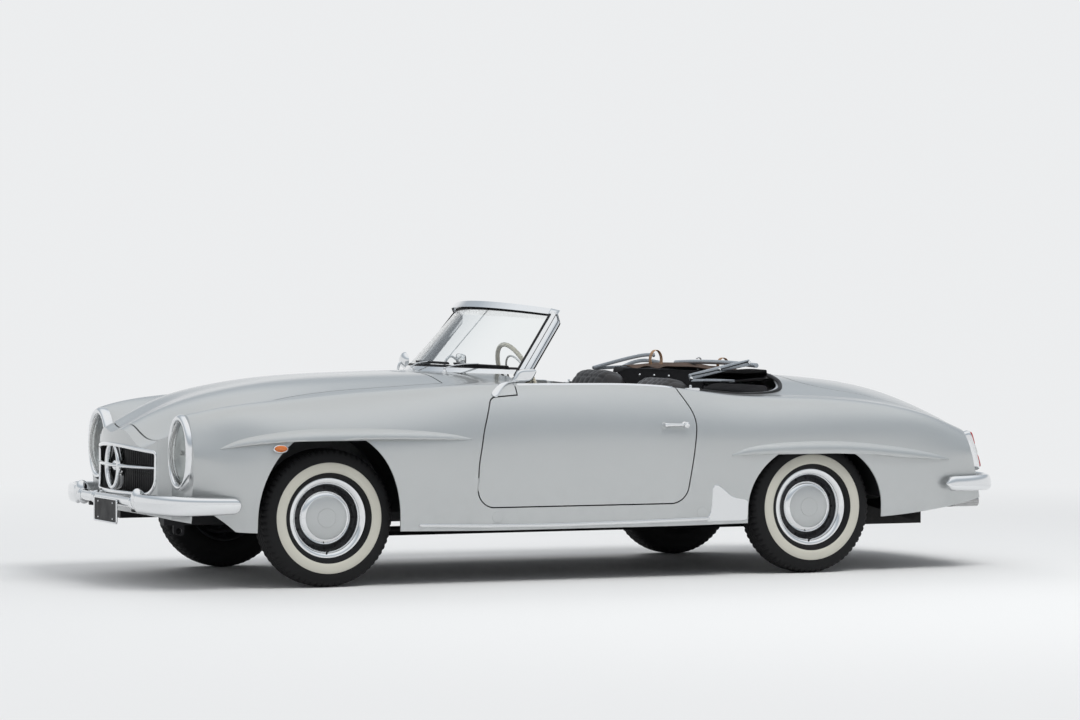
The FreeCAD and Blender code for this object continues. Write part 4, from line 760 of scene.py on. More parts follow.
def smooth_copy(node, name, body, kinds):
    """A joined copy of a pressed panel, shaded with the exact direction of the skin where it lies on it.

    With two finishes, what stands proud of a door's skin gets the second one.
    """
    mesh = joined_mesh(node, name, kinds, 28)
    count = len(mesh.vertices)
    points = values_of(mesh.vertices, "co", 3).astype(float) / MM
    inside = (points[:, 0] < STATIONS[0, 0]) & (points[:, 0] > STATIONS[-1, 0])
    v = np.zeros(count)
    v[inside] = place_on_skin(points[inside])
    here, outward, _ = skin(np.clip(points[:, 0], STATIONS[-1, 0], STATIONS[0, 0]), v)
    off = np.linalg.norm(points - here, axis=1)
    loops = values_of(mesh.loops, "vertex_index", 1, np.int32)
    normals = values_of(mesh.corner_normals, "vector", 3)
    totals = values_of(mesh.polygons, "loop_total", 1, np.int32)
    faces = values_of(mesh.polygons, "normal", 3)
    face_of = np.repeat(np.arange(len(totals)), totals)
    along_skin = (faces[face_of] * outward[loops]).sum(1) > SAME_WAY
    exact = (inside & (off < SKIN_REACH))[loops] & along_skin
    normals[exact] = outward[loops][exact]
    if len(kinds) > 1:
        proud = ((points - here) * outward).sum(1) > 0.7
        proud &= (points[:, 0] < TRIM_FRONT) & (points[:, 2] > TRIM_LOW)
        bright = np.zeros(len(totals), np.int32)
        np.maximum.at(bright, face_of, proud[loops].astype(np.int32))
        mesh.polygons.foreach_set("material_index", bright)
    mesh.normals_split_custom_set(normals.tolist())
    return placed(mesh, body)


class ROADSTER_OT_panels(bpy.types.Operator):
    """Paint the pressed body panels"""

    bl_idname = "roadster.panels"
    bl_label = "Body panels"

    def execute(self, context):
        for node, body in PANELS.items():
            item = smooth_copy(node, node + "_painted", body,
                               ["paint"] + ["bright"] * node.startswith("door"))
            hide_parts(node)
        return {"FINISHED"}


# ---- Wheels and tyres

WHEELS = {
    "front_left": (FRONT_AXLE, FRONT_SIDE, 1), "front_right": (FRONT_AXLE, -FRONT_SIDE, -1),
    "rear_left": (REAR_AXLE, REAR_SIDE, 1), "rear_right": (REAR_AXLE, -REAR_SIDE, -1),
}


def tyre_profile(sizes):
    """Outline of the tyre, radius and offset outwards, with steps at the pale band's edges."""
    top = sizes.tyre_radius
    low, high = sizes.band_inner, sizes.band_outer
    outer = [(180, 54), (181, 62), (186, 71), (194, 76.5), (low - 1, 79.5), (low, 79.7),
             (low + 2, 81.5), (low + 12, 83.6), (low + 22, 84.0), (high - 12, 83.4), (high - 3, 82.4),
             (high, 80.8), (high + 1, 80.6), (262, 79.6), (274, 77.2), (284, 74.0), (292, 70.2),
             (298, 66.0), (302.5, 60.5), (top - 3, 54.0)]
    tread = [(top - 1.6 * (y / 48.0) ** 2, y) for y in np.linspace(48, -48, 33)]
    inner = [(r, -y) for r, y in outer[::-1]]
    return np.array(outer + tread + inner + [(179, -30), (179, 30)], float)


def tyre_grid(sizes, centre, side):
    """The profile turned round, less the grooves: three zigzag rings and slots across the shoulders."""
    profile = tyre_profile(sizes)
    blocks = sizes.tread_blocks
    count = blocks * 6
    t = around(count)[:, None]
    r, y = profile[None, :, 0] + 0 * t, profile[None, :, 1] + 0 * t
    wave = np.abs((t * blocks / (2 * math.pi)) % 1.0 - 0.5) * 4 - 1
    groove = np.zeros_like(r)
    for ring_y in (-26.0, 0.0, 26.0):
        groove = np.maximum(groove, np.clip(1.6 - np.abs(y - ring_y - 4.0 * wave) / 3.0, 0, 1))
    slot = np.clip(1.5 - np.abs((t * blocks / (2 * math.pi)) % 1.0 - 0.5) * 7, 0, 1)
    shoulder = np.clip((np.abs(y) - 40) / 4, 0, 1) * np.clip((r - 288) / 8, 0, 1)
    groove = np.maximum(groove, slot * shoulder)
    tread = np.clip((r - 286) / 10, 0, 1)
    r = r - sizes.tread_depth * groove * tread
    return xyz(r * np.cos(t), y * side, r * np.sin(t)) + np.asarray(centre, float), profile


TRIM_RING = [(146, 30), (148, 36), (150.5, 44), (153, 50), (158, 56), (164, 60.5), (171, 63), (177, 63.5),
             (181.5, 61), (183.5, 57), (183, 52), (179, 50)]
WHEEL_DISH = [(179, 50), (176, 44), (168, 41), (160, 40), (154, 34), (150, 26), (146, 16), (138, 10),
              (130, 12), (124, 16), (118, 18), (0, 18)]
CAP_EDGE = [(123, 14), (124.5, 18), (124, 23), (121, 28), (116, 33), (110, 37.5), (104, 40.5), (99.5, 42),
            (97.5, 42.2), (96.6, 41.0)]
CAP_FACE = [(96.6, 41.0), (95.6, 42.0), (90, 44.2), (80, 46.8), (66, 49.4), (52, 51.2), (44.5, 52.0),
            (43.5, 53.4), (41.5, 53.4), (40.5, 52.4), (30, 53.0), (16, 53.5), (0, 53.7)]
RIM_BACK = [(179, 50), (178, 30), (164, 22), (158, 10), (158, -20), (164, -32), (178, -44), (181, -62),
            (186, -66), (182, -68), (174, -66), (168, -52), (156, -34), (152, -20), (152, 6), (140, 8)]


class ROADSTER_OT_wheels(bpy.types.Operator):
    """Turn the tyres, trim rings, dishes and hub caps of the four wheels"""

    bl_idname = "roadster.wheels"
    bl_label = "Wheels"

    def execute(self, context):
        sizes = context.scene.roadster_sizes
        for name, (x, y, side) in WHEELS.items():
            centre = (x, y, HUB_HEIGHT)
            grid, profile = tyre_grid(sizes, centre, side)
            middle = (profile[:, 0] + np.roll(profile[:, 0], -1)) / 2
            out = profile[:, 1] > 0
            pale = (middle > sizes.band_inner) & (middle < sizes.band_outer) & out
            tyre = Shape().add(grid, (True, True), np.where(pale, 1, 0)[None, :])
            tyre.build("tyre_%s_tread" % name, "wheel_" + name, ["tyre", "band"], "tyre_rubber", smooth=38,
                       stands_for="tyre_" + name)
            wheel = Shape()
            for profile, kind in ((TRIM_RING, 0), (WHEEL_DISH, 1), (CAP_EDGE, 0), (CAP_FACE, 2),
                                  (RIM_BACK, 1)):
                wheel.turn(profile, centre, "y", side, 128, kind)
            # Black ovals on the dish stand for its sixteen slots: painted shade where the holes show through.
            for turn in np.arange(16) * math.pi / 8:
                slot = round_section(5.5, 9.0, 3.0, 12)
                at = np.array([136 * math.cos(turn), 11.5 * side, 136 * math.sin(turn)]) + np.array(centre)
                radial = np.array([math.cos(turn), 0, math.sin(turn)])
                path = at + np.outer(np.linspace(-1, 1, 3) * 1.2, [0, side, 0])
                wheel.rod(swept(path, slot, radial), 3)
            valve = np.array(centre) + np.array([0, 0, -157.0])
            path = valve + np.outer(np.linspace(38, 66, 6), [0, side, 0.12])
            wheel.rod(swept(path, round_section(4, 4, count=10), (0, 0, 1.0)), 3)
            wheel.build("wheel_%s_dressed" % name, "wheel_" + name,
                        ["bright", "wheel_dark", "cap_paint", "black"],
                        "wheel_metal", smooth=40, stands_for="wheel_" + name)
        return {"FINISHED"}


# ---- Headlamps

LAMP = (1955.0, 610.0, 603.0)
LAMP_HALF, LAMP_POWER = (146.0, 170.0), 2.15


def oval_grid(rings):
    """Rings of (place forwards, growth of the half width and height), one oval round the lamp each."""
    y, z = round_section(1.0, 1.0, LAMP_POWER, 120).T[..., None]
    ahead, grown = np.array(rings, float).T[:, None]
    return xyz(LAMP[0] + ahead, LAMP[1] + (LAMP_HALF[0] + grown) * y, LAMP[2] + (LAMP_HALF[1] + grown) * z)


LAMP_RING = [(-18, -2), (-8, 0), (4, 1), (13, -0.5), (20, -4), (25, -10), (26.5, -17), (24.5, -24),
             (19, -28.5), (10, -30), (4, -30)]


class ROADSTER_OT_headlamps(bpy.types.Operator):
    """Set the headlamps: plated ring, fluted dome, bowl and bulb"""

    bl_idname = "roadster.headlamps"
    bl_label = "Headlamps"

    def execute(self, context):
        ring = Shape()
        ring.both(oval_grid(LAMP_RING), close=(True, False))
        ring.build("headlamp_rings_plated", "root", ["bright"], "chrome", smooth=40,
                   stands_for="headlamp_rings")

        half = np.array([LAMP_HALF[0] - 27, LAMP_HALF[1] - 27])
        r, t = np.linspace(0, 1, 26)[None, :], around(112)[:, None]
        y, z = half[0] * r * np.cos(t), half[1] * r * np.sin(t)
        dome = 16 + 38 * (1 - r ** 2.2)
        flutes = 0.35 * np.cos(y / 6.5) * np.clip((1 - r) * 8, 0, 1)
        outer = xyz(LAMP[0] + dome, LAMP[1] + y, LAMP[2] + z)
        inner = xyz(LAMP[0] + dome - 4.5 + flutes, LAMP[1] + y, LAMP[2] + z)
        glass = Shape()
        glass.both(np.concatenate([inner, outer[:, ::-1]], 1), close=(True, False))
        glass.build("headlamp_domes", "root", ["lamp_glass"], "lamp_glass", smooth=50,
                    stands_for="headlamp_lenses")

        # The bowl's plating is painted near black: painted shade standing for the dark reflections in it.
        bowl = xyz(LAMP[0] + 6 - 34 * (1 - r ** 2), LAMP[1] + y, LAMP[2] + z)
        bulb = [(0, 24), (5, 22.5), (9, 18), (11, 12), (10, 5), (7, 0), (6, -14), (0, -14)]
        inside = Shape()
        inside.both(bowl, close=(True, False))
        for y_side in (1, -1):
            centre = (LAMP[0] - 8, y_side * LAMP[1], LAMP[2])
            inside.turn(bulb, centre, "x", 1, 32, 1)
        inside.build("headlamp_bowls", "root", ["mirror", "clear"], "lamp_glass", smooth=50)
        return {"FINISHED"}


# ---- Grille, bumpers and plate

GRILLE_CORNERS = [(0, 642, 2500), (430, 604, 18), (424, 404, 80), (-424, 404, 80), (-430, 604, 18)]
NOSE_TIP, NOSE_SIDE, NOSE_HALF = 2095.0, 2015.0, 434.0
GRILLE_MIDDLE = 528.0


def nose_front(y):
    """Where the nose ends at a place across the car: one level circle."""
    sag = NOSE_TIP - NOSE_SIDE
    radius = (NOSE_HALF ** 2 + sag ** 2) / (2 * sag)
    return NOSE_TIP - radius + np.sqrt(radius ** 2 - np.minimum(np.abs(y), radius) ** 2)


class ROADSTER_OT_grille(bpy.types.Operator):
    """Set the grille: plated surround, one bar, a plain ring with its boss, and the dark core behind"""

    bl_idname = "roadster.grille"
    bl_label = "Grille"

    def execute(self, context):
        line = rounded_outline(GRILLE_CORNERS, 260)
        path = xyz(nose_front(line[:, 0]) + 1.0, line[:, 0], line[:, 1])
        inward = unit(xyz(0.0, -line[:, 0] * 0.35, GRILLE_MIDDLE - line[:, 1]))
        path = path + inward * 7
        shape = Shape()
        section = round_section(9, 7, 2.6, 16)
        shape.add(swept(path, section, (1.0, 0, 0), closed=True), (True, True))
        y = np.linspace(-418, 418, 90)
        bar = xyz(nose_front(y) - 6, y, GRILLE_MIDDLE + 2)
        wing = np.array([(-10.5, -26), (-10, -8), (-7.5, 5), (0, 12), (7.5, 5), (10, -8), (10.5, -26),
                         (0, -30)], float)
        wing = curve(wing, 26, closed=True)
        taper = np.clip(1.04 - (np.abs(y) / 430) ** 3 * 0.45, 0, 1)[:, None] * [1, 1]
        shape.rod(swept(bar, wing, (1.0, 0, 0), taper))
        t = around(140)
        ring = xyz(NOSE_TIP - 18, 88 * np.cos(t), GRILLE_MIDDLE + 100 * np.sin(t))
        shape.add(swept(ring, round_section(10, 22, 3.0, 20), (1.0, 0, 0), closed=True), (True, True))
        boss = [(0, 16), (12, 15), (20, 11), (24, 4), (25, -8), (22, -14), (10, -26), (8, -60)]
        shape.turn(boss, (NOSE_TIP - 22, 0, GRILLE_MIDDLE), "x", 1, 64)
        for turn in (0.0, math.pi):
            arm = np.array([[NOSE_TIP - 26, 20 * math.cos(turn), GRILLE_MIDDLE],
                            [NOSE_TIP - 24, 50 * math.cos(turn), GRILLE_MIDDLE],
                            [NOSE_TIP - 22, 86 * math.cos(turn), GRILLE_MIDDLE]])
            shape.rod(tube(arm, 6, 12, 12))
        shape.build("grille_plated", "root", ["bright"], "chrome", smooth=40, stands_for="grille")

        y, z = np.linspace(-425, 425, 120)[:, None], np.linspace(404, 640, 40)[None, :]
        fins = 3.0 * np.sign(np.sin(y / 4.5)) * np.clip(np.abs(np.sin(z / 5.5)) * 3, 0, 1)
        core = Shape().add(xyz(1975 + fins, y, z))
        core.build("grille_core", "root", ["black"], "chassis_metal", smooth=30)
        return {"FINISHED"}


FRONT_BLADE = [(1760, 872), (1880, 866), (1985, 836), (2060, 770), (2104, 670), (2126, 560), (2136, 440)]
REAR_BLADE = [(-1770, 872), (-1900, 862), (-2010, 815), (-2080, 730), (-2115, 600), (-2136, 380), (-2145, 0)]
FRONT_BUMPER, REAR_BUMPER = 376.0, 408.0
PLATE_SIDE = 222.0


def blade_grid(points, height, tall):
    """A crowned blade along a plan curve: flat back, full face, ends rounded like a spoon."""
    plan = curve(points, 110)
    path = np.column_stack([plan, np.full(len(plan), height)])
    out = xyz(np.gradient(path[:, 1]), -np.gradient(path[:, 0]), 0.0)
    out = unit(out) * np.sign((out * (path - [0, 0, height])).sum(1))[:, None]
    path = path - out * 27
    half = tall / 2
    section = curve([(-half, 2), (-half * 0.93, 13), (-half * 0.6, 22), (0, 26.5), (half * 0.45, 26.5),
                     (half * 0.83, 21), (half * 0.99, 10), (half, 2), (half * 0.9, -3), (0, -3.5),
                     (-half * 0.9, -3)], 40, closed=True)
    s = np.linspace(0, 1, len(path))
    length = np.linalg.norm(np.diff(path, axis=0), axis=1).sum()
    near = 1 - np.clip(np.minimum(s, 1 - s) * length / 34, 0, 1)
    near = np.sqrt(np.clip(1 - near ** 2, 0.02, 1))
    swell = 0.80 + 0.20 * np.clip(s * 2.2, 0, 1)
    return swept(path, section, out, np.stack([near * swell, 0.35 + 0.65 * near], -1))


class ROADSTER_OT_bumpers(bpy.types.Operator):
    """Press the bumper blades, the middle tube and the guards, and hang the blank plate"""

    bl_idname = "roadster.bumpers"
    bl_label = "Bumpers"

    def execute(self, context):
        sizes = context.scene.roadster_sizes
        front = Shape()
        front.both(blade_grid(FRONT_BLADE, FRONT_BUMPER, sizes.blade_height),
                   close=(False, True), caps=True)
        y = np.linspace(-410, 410, 60)
        middle = xyz(2108, y, FRONT_BUMPER)
        front.rod(swept(middle, round_section(24, 24, count=28), (1.0, 0, 0)))
        u = np.linspace(-math.pi / 2, math.pi / 2, 30)[None, :]
        t = around(60)[:, None]
        guard = xyz(2100 + 36 * np.cos(u) * np.cos(t) + 6 * np.sin(u), 432 + 34 * np.cos(u) * np.sin(t),
                    FRONT_BUMPER + 11 + 56 * np.sin(u))
        front.both(guard, close=(True, False))
        for y in (-392, -180, 392):
            collar = [(24, -16), (29, -14), (31.5, -6), (31.5, 6), (29, 14), (24, 16)]
            front.turn(collar, (2108, y, FRONT_BUMPER), "y", 1, 40)
        arm = np.array([[1962.0, 330, 336], [2020, 330, 338], [2100, 330, 345]])
        front.both(tube(arm, 14, 10, 12), close=(False, True), caps=True, finish=1)
        front.build("front_bumper_plated", "root", ["bright", "chassis"], "chrome", smooth=45,
                    stands_for="front_bumper")

        rear = Shape()
        points = REAR_BLADE + [(x, -y) for x, y in REAR_BLADE[-2::-1]]
        rear.rod(blade_grid(points, REAR_BUMPER, sizes.blade_height))
        arm = np.array([[-2118.0, 500, 408], [-2070, 500, 408], [-2022, 500, 408]])
        rear.both(tube(arm, 14, 10, 12), close=(False, True), caps=True, finish=1)
        rear.build("rear_bumper_plated", "root", ["bright", "chassis"], "chrome", smooth=45,
                   stands_for="rear_bumper")

        plate = Shape()
        corners = [(y, z, 9) for y, z in ((-122, 275), (PLATE_SIDE, 275), (PLATE_SIDE, 381), (-122, 381))]
        line = rounded_outline(corners, 160)
        middle = line.mean(0)
        rim = np.column_stack([np.full(160, 2139.0), line])
        plate.add(swept(rim, round_section(4.2, 4.2, 2.0, 12), (1.0, 0, 0), closed=True), (True, True), 1)
        r = np.array([0, 0.4, 0.8, 0.86, 0.9, 0.93, 0.96, 1.0])[None, :, None]
        face = middle + (line[:, None] - middle) * (r * 0.955)
        press = 1.2 * np.clip(1 - np.abs(r[..., 0] - 0.93) * 16, 0, 1)
        for lift in (0.0, -3.0):
            front = np.dstack([2138.5 + press + lift + 0 * face[..., 0], face])
            plate.add(front, (True, False), 0)
        for y in (-60, PLATE_SIDE - 62):
            for z in (292, 364):
                plate.turn([(5, -1), (4.6, 1.8), (3, 3), (0, 3.2)], (2139, y, z), "x", 1, 16, 1)
        plate.build("front_plate_blank", "root", ["plate", "bright"], "plate_black", smooth=40,
                    stands_for="number_plate")
        return {"FINISHED"}


# ---- Windscreen

# Middle x and z, then end x, y and z, at the foot and at the top of the pane.
SCREEN_BASE = (585.0, 946.0, 335.0, 660.0, 940.0)
SCREEN_TOP = (282.0, 1262.0, 122.0, 588.0, 1228.0)
PANE_LOW, PANE_HIGH, PANE_SIDE = 0.05, 0.955, 0.982


def screen(share, turn):
    """Points and outward directions of the bent screen.

    At each share of the height it is a circle through a middle and two ends, which move on
    straight lines from the foot to the top. Turn goes from -1 to 1 across the car.
    """
    def place(up, aside):
        up, aside = np.broadcast_arrays(np.asarray(up, float), np.asarray(aside, float))
        low, high = np.array(SCREEN_BASE), np.array(SCREEN_TOP)
        x_mid, z_mid, x_end, y_end, z_end = np.moveaxis(low + (high - low) * up[..., None], -1, 0)
        lean = np.hypot(x_mid - x_end, z_mid - z_end)
        radius = (y_end ** 2 + lean ** 2) / (2 * lean)
        angle = np.arcsin(y_end / radius) * aside
        drop = radius * (1 - np.cos(angle)) / lean
        return xyz(x_mid - (x_mid - x_end) * drop, radius * np.sin(angle), z_mid - (z_mid - z_end) * drop)

    step = 1e-4
    share, turn = np.asarray(share, float), np.asarray(turn, float)
    across = place(share, turn + step) - place(share, turn - step)
    up = place(share + step, turn) - place(share - step, turn)
    return place(share, turn), unit(np.cross(across, up))


def screen_strip(share, turn, width, depth, lift):
    """A flat strip along a line on the screen, its middle lifted off it."""
    here, out = screen(share, turn)
    return swept(here + out * lift, round_section(width / 2, depth / 2, 4.0, 16), out)


def screen_end(share, ahead, aside):
    """Points beside the end line of the screen on the left: shifted forwards and outwards."""
    share = np.asarray(share, float)[:, None]
    low, high = np.array(SCREEN_BASE)[2:], np.array(SCREEN_TOP)[2:]
    return low + (high - low) * share + np.array([ahead, aside, 0.0])


class ROADSTER_OT_windscreen(bpy.types.Operator):
    """Fit the bent pane, its plated frame, seals, wipers, mirror and side spears"""

    bl_idname = "roadster.windscreen"
    bl_label = "Windscreen"

    def execute(self, context):
        rows = np.linspace(PANE_LOW, PANE_HIGH, 28)
        profile = np.concatenate([rows, rows[::-1]])[None, :]
        lift = np.repeat([3.0, -3.0], 28)[None, :, None]
        here, out = screen(profile, np.linspace(-PANE_SIDE, PANE_SIDE, 91)[:, None])
        pane = Shape().rod(here + out * lift)
        pane.build("screen_pane", "root", ["glass"], "screen_glass", smooth=50, stands_for="windshield_glass")

        copied_node("windshield_frame", "root", "bright", 30)

        trims = Shape()
        turn = np.linspace(-0.975, 0.975, 80)
        for share, width in ((0.925, 13), (0.082, 12)):
            trims.rod(screen_strip(share, turn, width, 8, 2))
        for side in (1, -1):
            trims.rod(screen_strip(np.linspace(0.06, 0.93, 40), 0.966 * side, 15, 10, 2))
        shares = np.linspace(-0.02, 0.955, 40)
        taper = np.interp(shares, [0.80, 0.99], [-37.5, 13.0])
        for ahead, aside, width in ((12, 8.0, 3.0), (-18, 8.0, 3.0), (-37.5, 0.0, 8.0), (37, -2.0, 13.0)):
            clear_of = taper if ahead < -30 else taper + 6
            path = screen_end(shares, 0, aside)
            path[:, 0] += np.maximum(ahead, clear_of)
            groove = swept(path, round_section(width / 2, width / 2, 3.0, 10), (0, 1.0, 0))
            trims.both(groove, close=(False, True), caps=True)
        trims.build("screen_seals", "root", ["seal"], "tyre_rubber", smooth=45)

        bright = Shape()
        foot = rounded_box((286, 652, 902), (382, 690, 966), 4.0, 30)
        foot[..., 0] += (foot[..., 2] - 934) * -0.55
        bright.both(foot, close=(False, True))
        s = np.linspace(0, 1, 40)
        path, out, _ = skin(366 + 166 * s, 6.55 + 1.78 * s ** 1.15)
        path = path + out * (3 + 7 * (1 - s) ** 2)[:, None]
        width = 7 + 11 * s ** 1.6
        width = width * np.sqrt(np.clip(1 - np.clip((s - 0.93) / 0.075, 0, 1) ** 2, 0.02, 1))
        height = np.clip(7 - 2.5 * s, 3, 7)
        spear = swept(path, round_section(1.0, 1.0, 2.2, 20), out, np.stack([width, height], -1))
        bright.both(spear, close=(False, True), caps=True)
        bright.build("screen_feet", "root", ["bright"], "chrome", smooth=45)

        wipers = Shape()
        for x, y, first, last in ((577, 300, 255, 560), (599, -60, -100, 215)):
            ground, out = crown(x, y)
            stem = [(11, -6), (12, 2), (10.5, 7), (7, 9), (6.5, 17), (8, 20), (6, 24), (0, 25)]
            wipers.turn(stem, ground, "z", 1, 28)
            turns = np.linspace(first, last, 40) / 640.0
            wipers.rod(screen_strip(0.098 + 0.012 * np.cos(turns * 3), turns, 7, 13, 12), 1)
            middle, away = screen(0.102, (first + last) / 2 / 640.0)
            arm = np.array([ground + [0, 0, 20], ground * 0.6 + middle * 0.4 + [10, 0, 24],
                            middle + away * 20])
            wipers.rod(swept(curve(arm, 20), round_section(4.2, 2.4, 2.6, 12), (0, 0, 1.0)))
        wipers.build("wipers", "root", ["bright", "black"], "chrome", smooth=45)

        mirror = Shape()
        base, _ = crown(452, 0)
        stem = np.array([base + [0, 0, -3], base + [2, 0, 30], [441, 8, 1006], [424, 6, 1013], [398, 0, 998]])
        mirror.rod(tube(stem, 6, 40, 14))
        mirror.turn([(17, -4), (17, 3), (13, 7), (7, 9), (0, 9)], base, "z", 1, 32)
        mirror.rod(tube([(445, 20, 1008), (350, 40, 1122), (252, 60, 1238)], 2.6, 30, 10))
        mirror.rod(tube([(254, 60, 1236), (262, 60, 1246), (274, 60, 1251)], 4.5, 8, 10))
        head = rounded_box((-14, -105, -29), (14, 105, 29), 3.2, 30)
        glass = rounded_box((-16.5, -97, -24), (-9, 97, 24), 3.2, 24)
        yaw = math.radians(-14)
        turn_head = np.array([[math.cos(yaw), math.sin(yaw), 0], [-math.sin(yaw), math.cos(yaw), 0],
                              [0, 0, 1]])
        for part, kind in ((head, 0), (glass, 1)):
            mirror.add(part @ turn_head + [384, 20, 998], (False, True), kind)
        ground, _ = crown(402, -745)
        arm = np.array([ground + [6, 0, -3], ground + [4, 0, 40], ground + [-8, 0, 78], [381, -745, 980]])
        mirror.rod(tube(arm, 6.5, 30, 14))
        mirror.turn([(24, -3), (23, 3), (15, 8), (8, 12), (0, 13)], ground + [6, 0, 0], "z", 1, 40)
        shell = [(0, -20), (12, -19), (30, -15), (44, -8), (50, 0), (51, 5), (48, 7), (46, 5)]
        glass = [(46, 5), (30, 4.2), (0, 4)]
        for profile, kind in ((shell, 0), (glass, 1)):
            disc = turned(profile, (0, 0, 0), "x", -1, 56) * np.array([1.0, 1.0, 0.80])
            mirror.add(disc + np.array([372, -745, 983]), (True, False), kind)
        # The mirror glasses take the reflector plating painted near black: painted shade standing for their
        # dark reflections.
        mirror.build("mirrors", "root", ["bright", "mirror"], "chrome", smooth=45)
        return {"FINISHED"}


# ---- Cabin

WHEEL_CENTRE = np.array([234.0, 370.0, 897.0])
WHEEL_RAKE = math.radians(22)
WHEEL_AXES = np.array([
    [0.0, 1.0, 0.0],
    [-math.sin(WHEEL_RAKE), 0.0, -math.cos(WHEEL_RAKE)],
    [-math.cos(WHEEL_RAKE), 0.0, math.sin(WHEEL_RAKE)],
])
DOOR_WALL_Z = np.array([347.0, 462, 570, 647, 714, 759, 813, 842, 896])
DOOR_WALL_Y = np.array([781.0, 786, 789, 783, 766, 747, 718, 696, 696])


def circle(radius, count, height=0.0):
    """Level circle round the origin."""
    t = around(count)
    return xyz(radius * np.cos(t), radius * np.sin(t), height)


class ROADSTER_OT_steering(bpy.types.Operator):
    """Turn the ivory steering wheel with its plated horn ring and shaft"""

    bl_idname = "roadster.steering"
    bl_label = "Steering wheel"

    def execute(self, context):
        shape = Shape()
        path = circle(189, 216)
        rim = swept(path, round_section(10.6, 10.8, 2.0, 24), (0, 0, 1.0), closed=True)
        grips = np.clip(np.cos(around(216)[:, None] * 54), 0, 1) * np.clip(-np.sin(around(24)), 0, 1)
        rim = path[:, None] + (rim - path[:, None]) * (1 - 0.05 * grips)[..., None]
        shape.add(rim, (True, True))
        for side in (1, -1):
            arm = np.array([[30, 0, -4], [90, 0, -7], [150, 0, -3], [184, 0, 0]], float) * [side, 1, 1]
            wide = np.stack([np.linspace(17, 9, 30), np.linspace(7.5, 7, 30)], -1)
            shape.rod(swept(curve(arm, 30), round_section(1, 1, 2.6, 20), (0, 0, 1.0), wide))
        hub = [(0, -26), (26, -26), (33, -18), (34, 0), (36, 12), (33, 22), (29, 26)]
        cap = [(29, 26), (27, 30), (20, 34.5), (10, 37), (0, 38)]
        lip = [(29, 24), (31, 27), (29.5, 29.5), (27, 29)]
        shaft = [(0, -462), (11.4, -462), (11.4, -60), (15, -40), (24, -26), (0, -26)]
        for profile, count, kind in ((hub, 72, 0), (cap, 72, 1), (lip, 72, 1), (shaft, 40, 2)):
            shape.turn(profile, (0, 0, 0), "z", 1, count, kind)
        ring = swept(circle(128, 160, 10), round_section(4.6, 4.6, 2.0, 14), (0, 0, 1.0), closed=True)
        shape.add(ring, (True, True), 1)
        for turn in (35, 145, 215, 325):
            c, s = math.cos(math.radians(turn)), math.sin(math.radians(turn))
            arm = np.array([[28 * c, 28 * s, 20], [80 * c, 80 * s, 19], [127 * c, 127 * s, 10]])
            shape.rod(swept(curve(arm, 16), round_section(4.5, 2.6, 2.4, 12), (0, 0, 1.0)), 1)
        shape.points = [WHEEL_CENTRE + part @ WHEEL_AXES for part in shape.points]
        shape.build("steering_wheel_dressed", "steering", ["ivory", "bright", "black"], "steering_ivory",
                    smooth=45, stands_for="steering_wheel")
        return {"FINISHED"}


def dial(shape, centre, radius, marks):
    """A round instrument facing backwards: bezel, sunk face, marks, needle and its hub."""
    centre = np.asarray(centre, float)
    bezel = [(radius * 0.86, 2), (radius * 0.90, 8), (radius * 0.96, 10), (radius, 7), (radius * 1.02, 0),
             (radius, -3)]
    shape.turn(bezel, centre, "x", -1, 64)
    shape.turn([(radius * 0.88, 3), (radius * 0.6, 2), (0, 2)], centre, "x", -1, 48, 1)
    for turn in np.linspace(-2.3, 2.3, marks) + math.pi / 2:
        ray = np.array([0, math.cos(turn), math.sin(turn)])
        path = centre + np.array([-3.4, 0, 0]) + np.outer([0.64 * radius, 0.80 * radius], ray)
        shape.rod(swept(path, round_section(0.9, 0.5, 3.0, 8), (1.0, 0, 0)), 2)
    path = centre + np.array([-4.4, 0, 0]) + np.outer([-0.15 * radius, 0.66 * radius], [0, -0.72, -0.69])
    shape.rod(swept(path, round_section(1.1, 0.6, 3.0, 8), (1.0, 0, 0)), 2)
    shape.turn([(4, 3), (4, 6), (0, 7)], centre, "x", -1, 20)


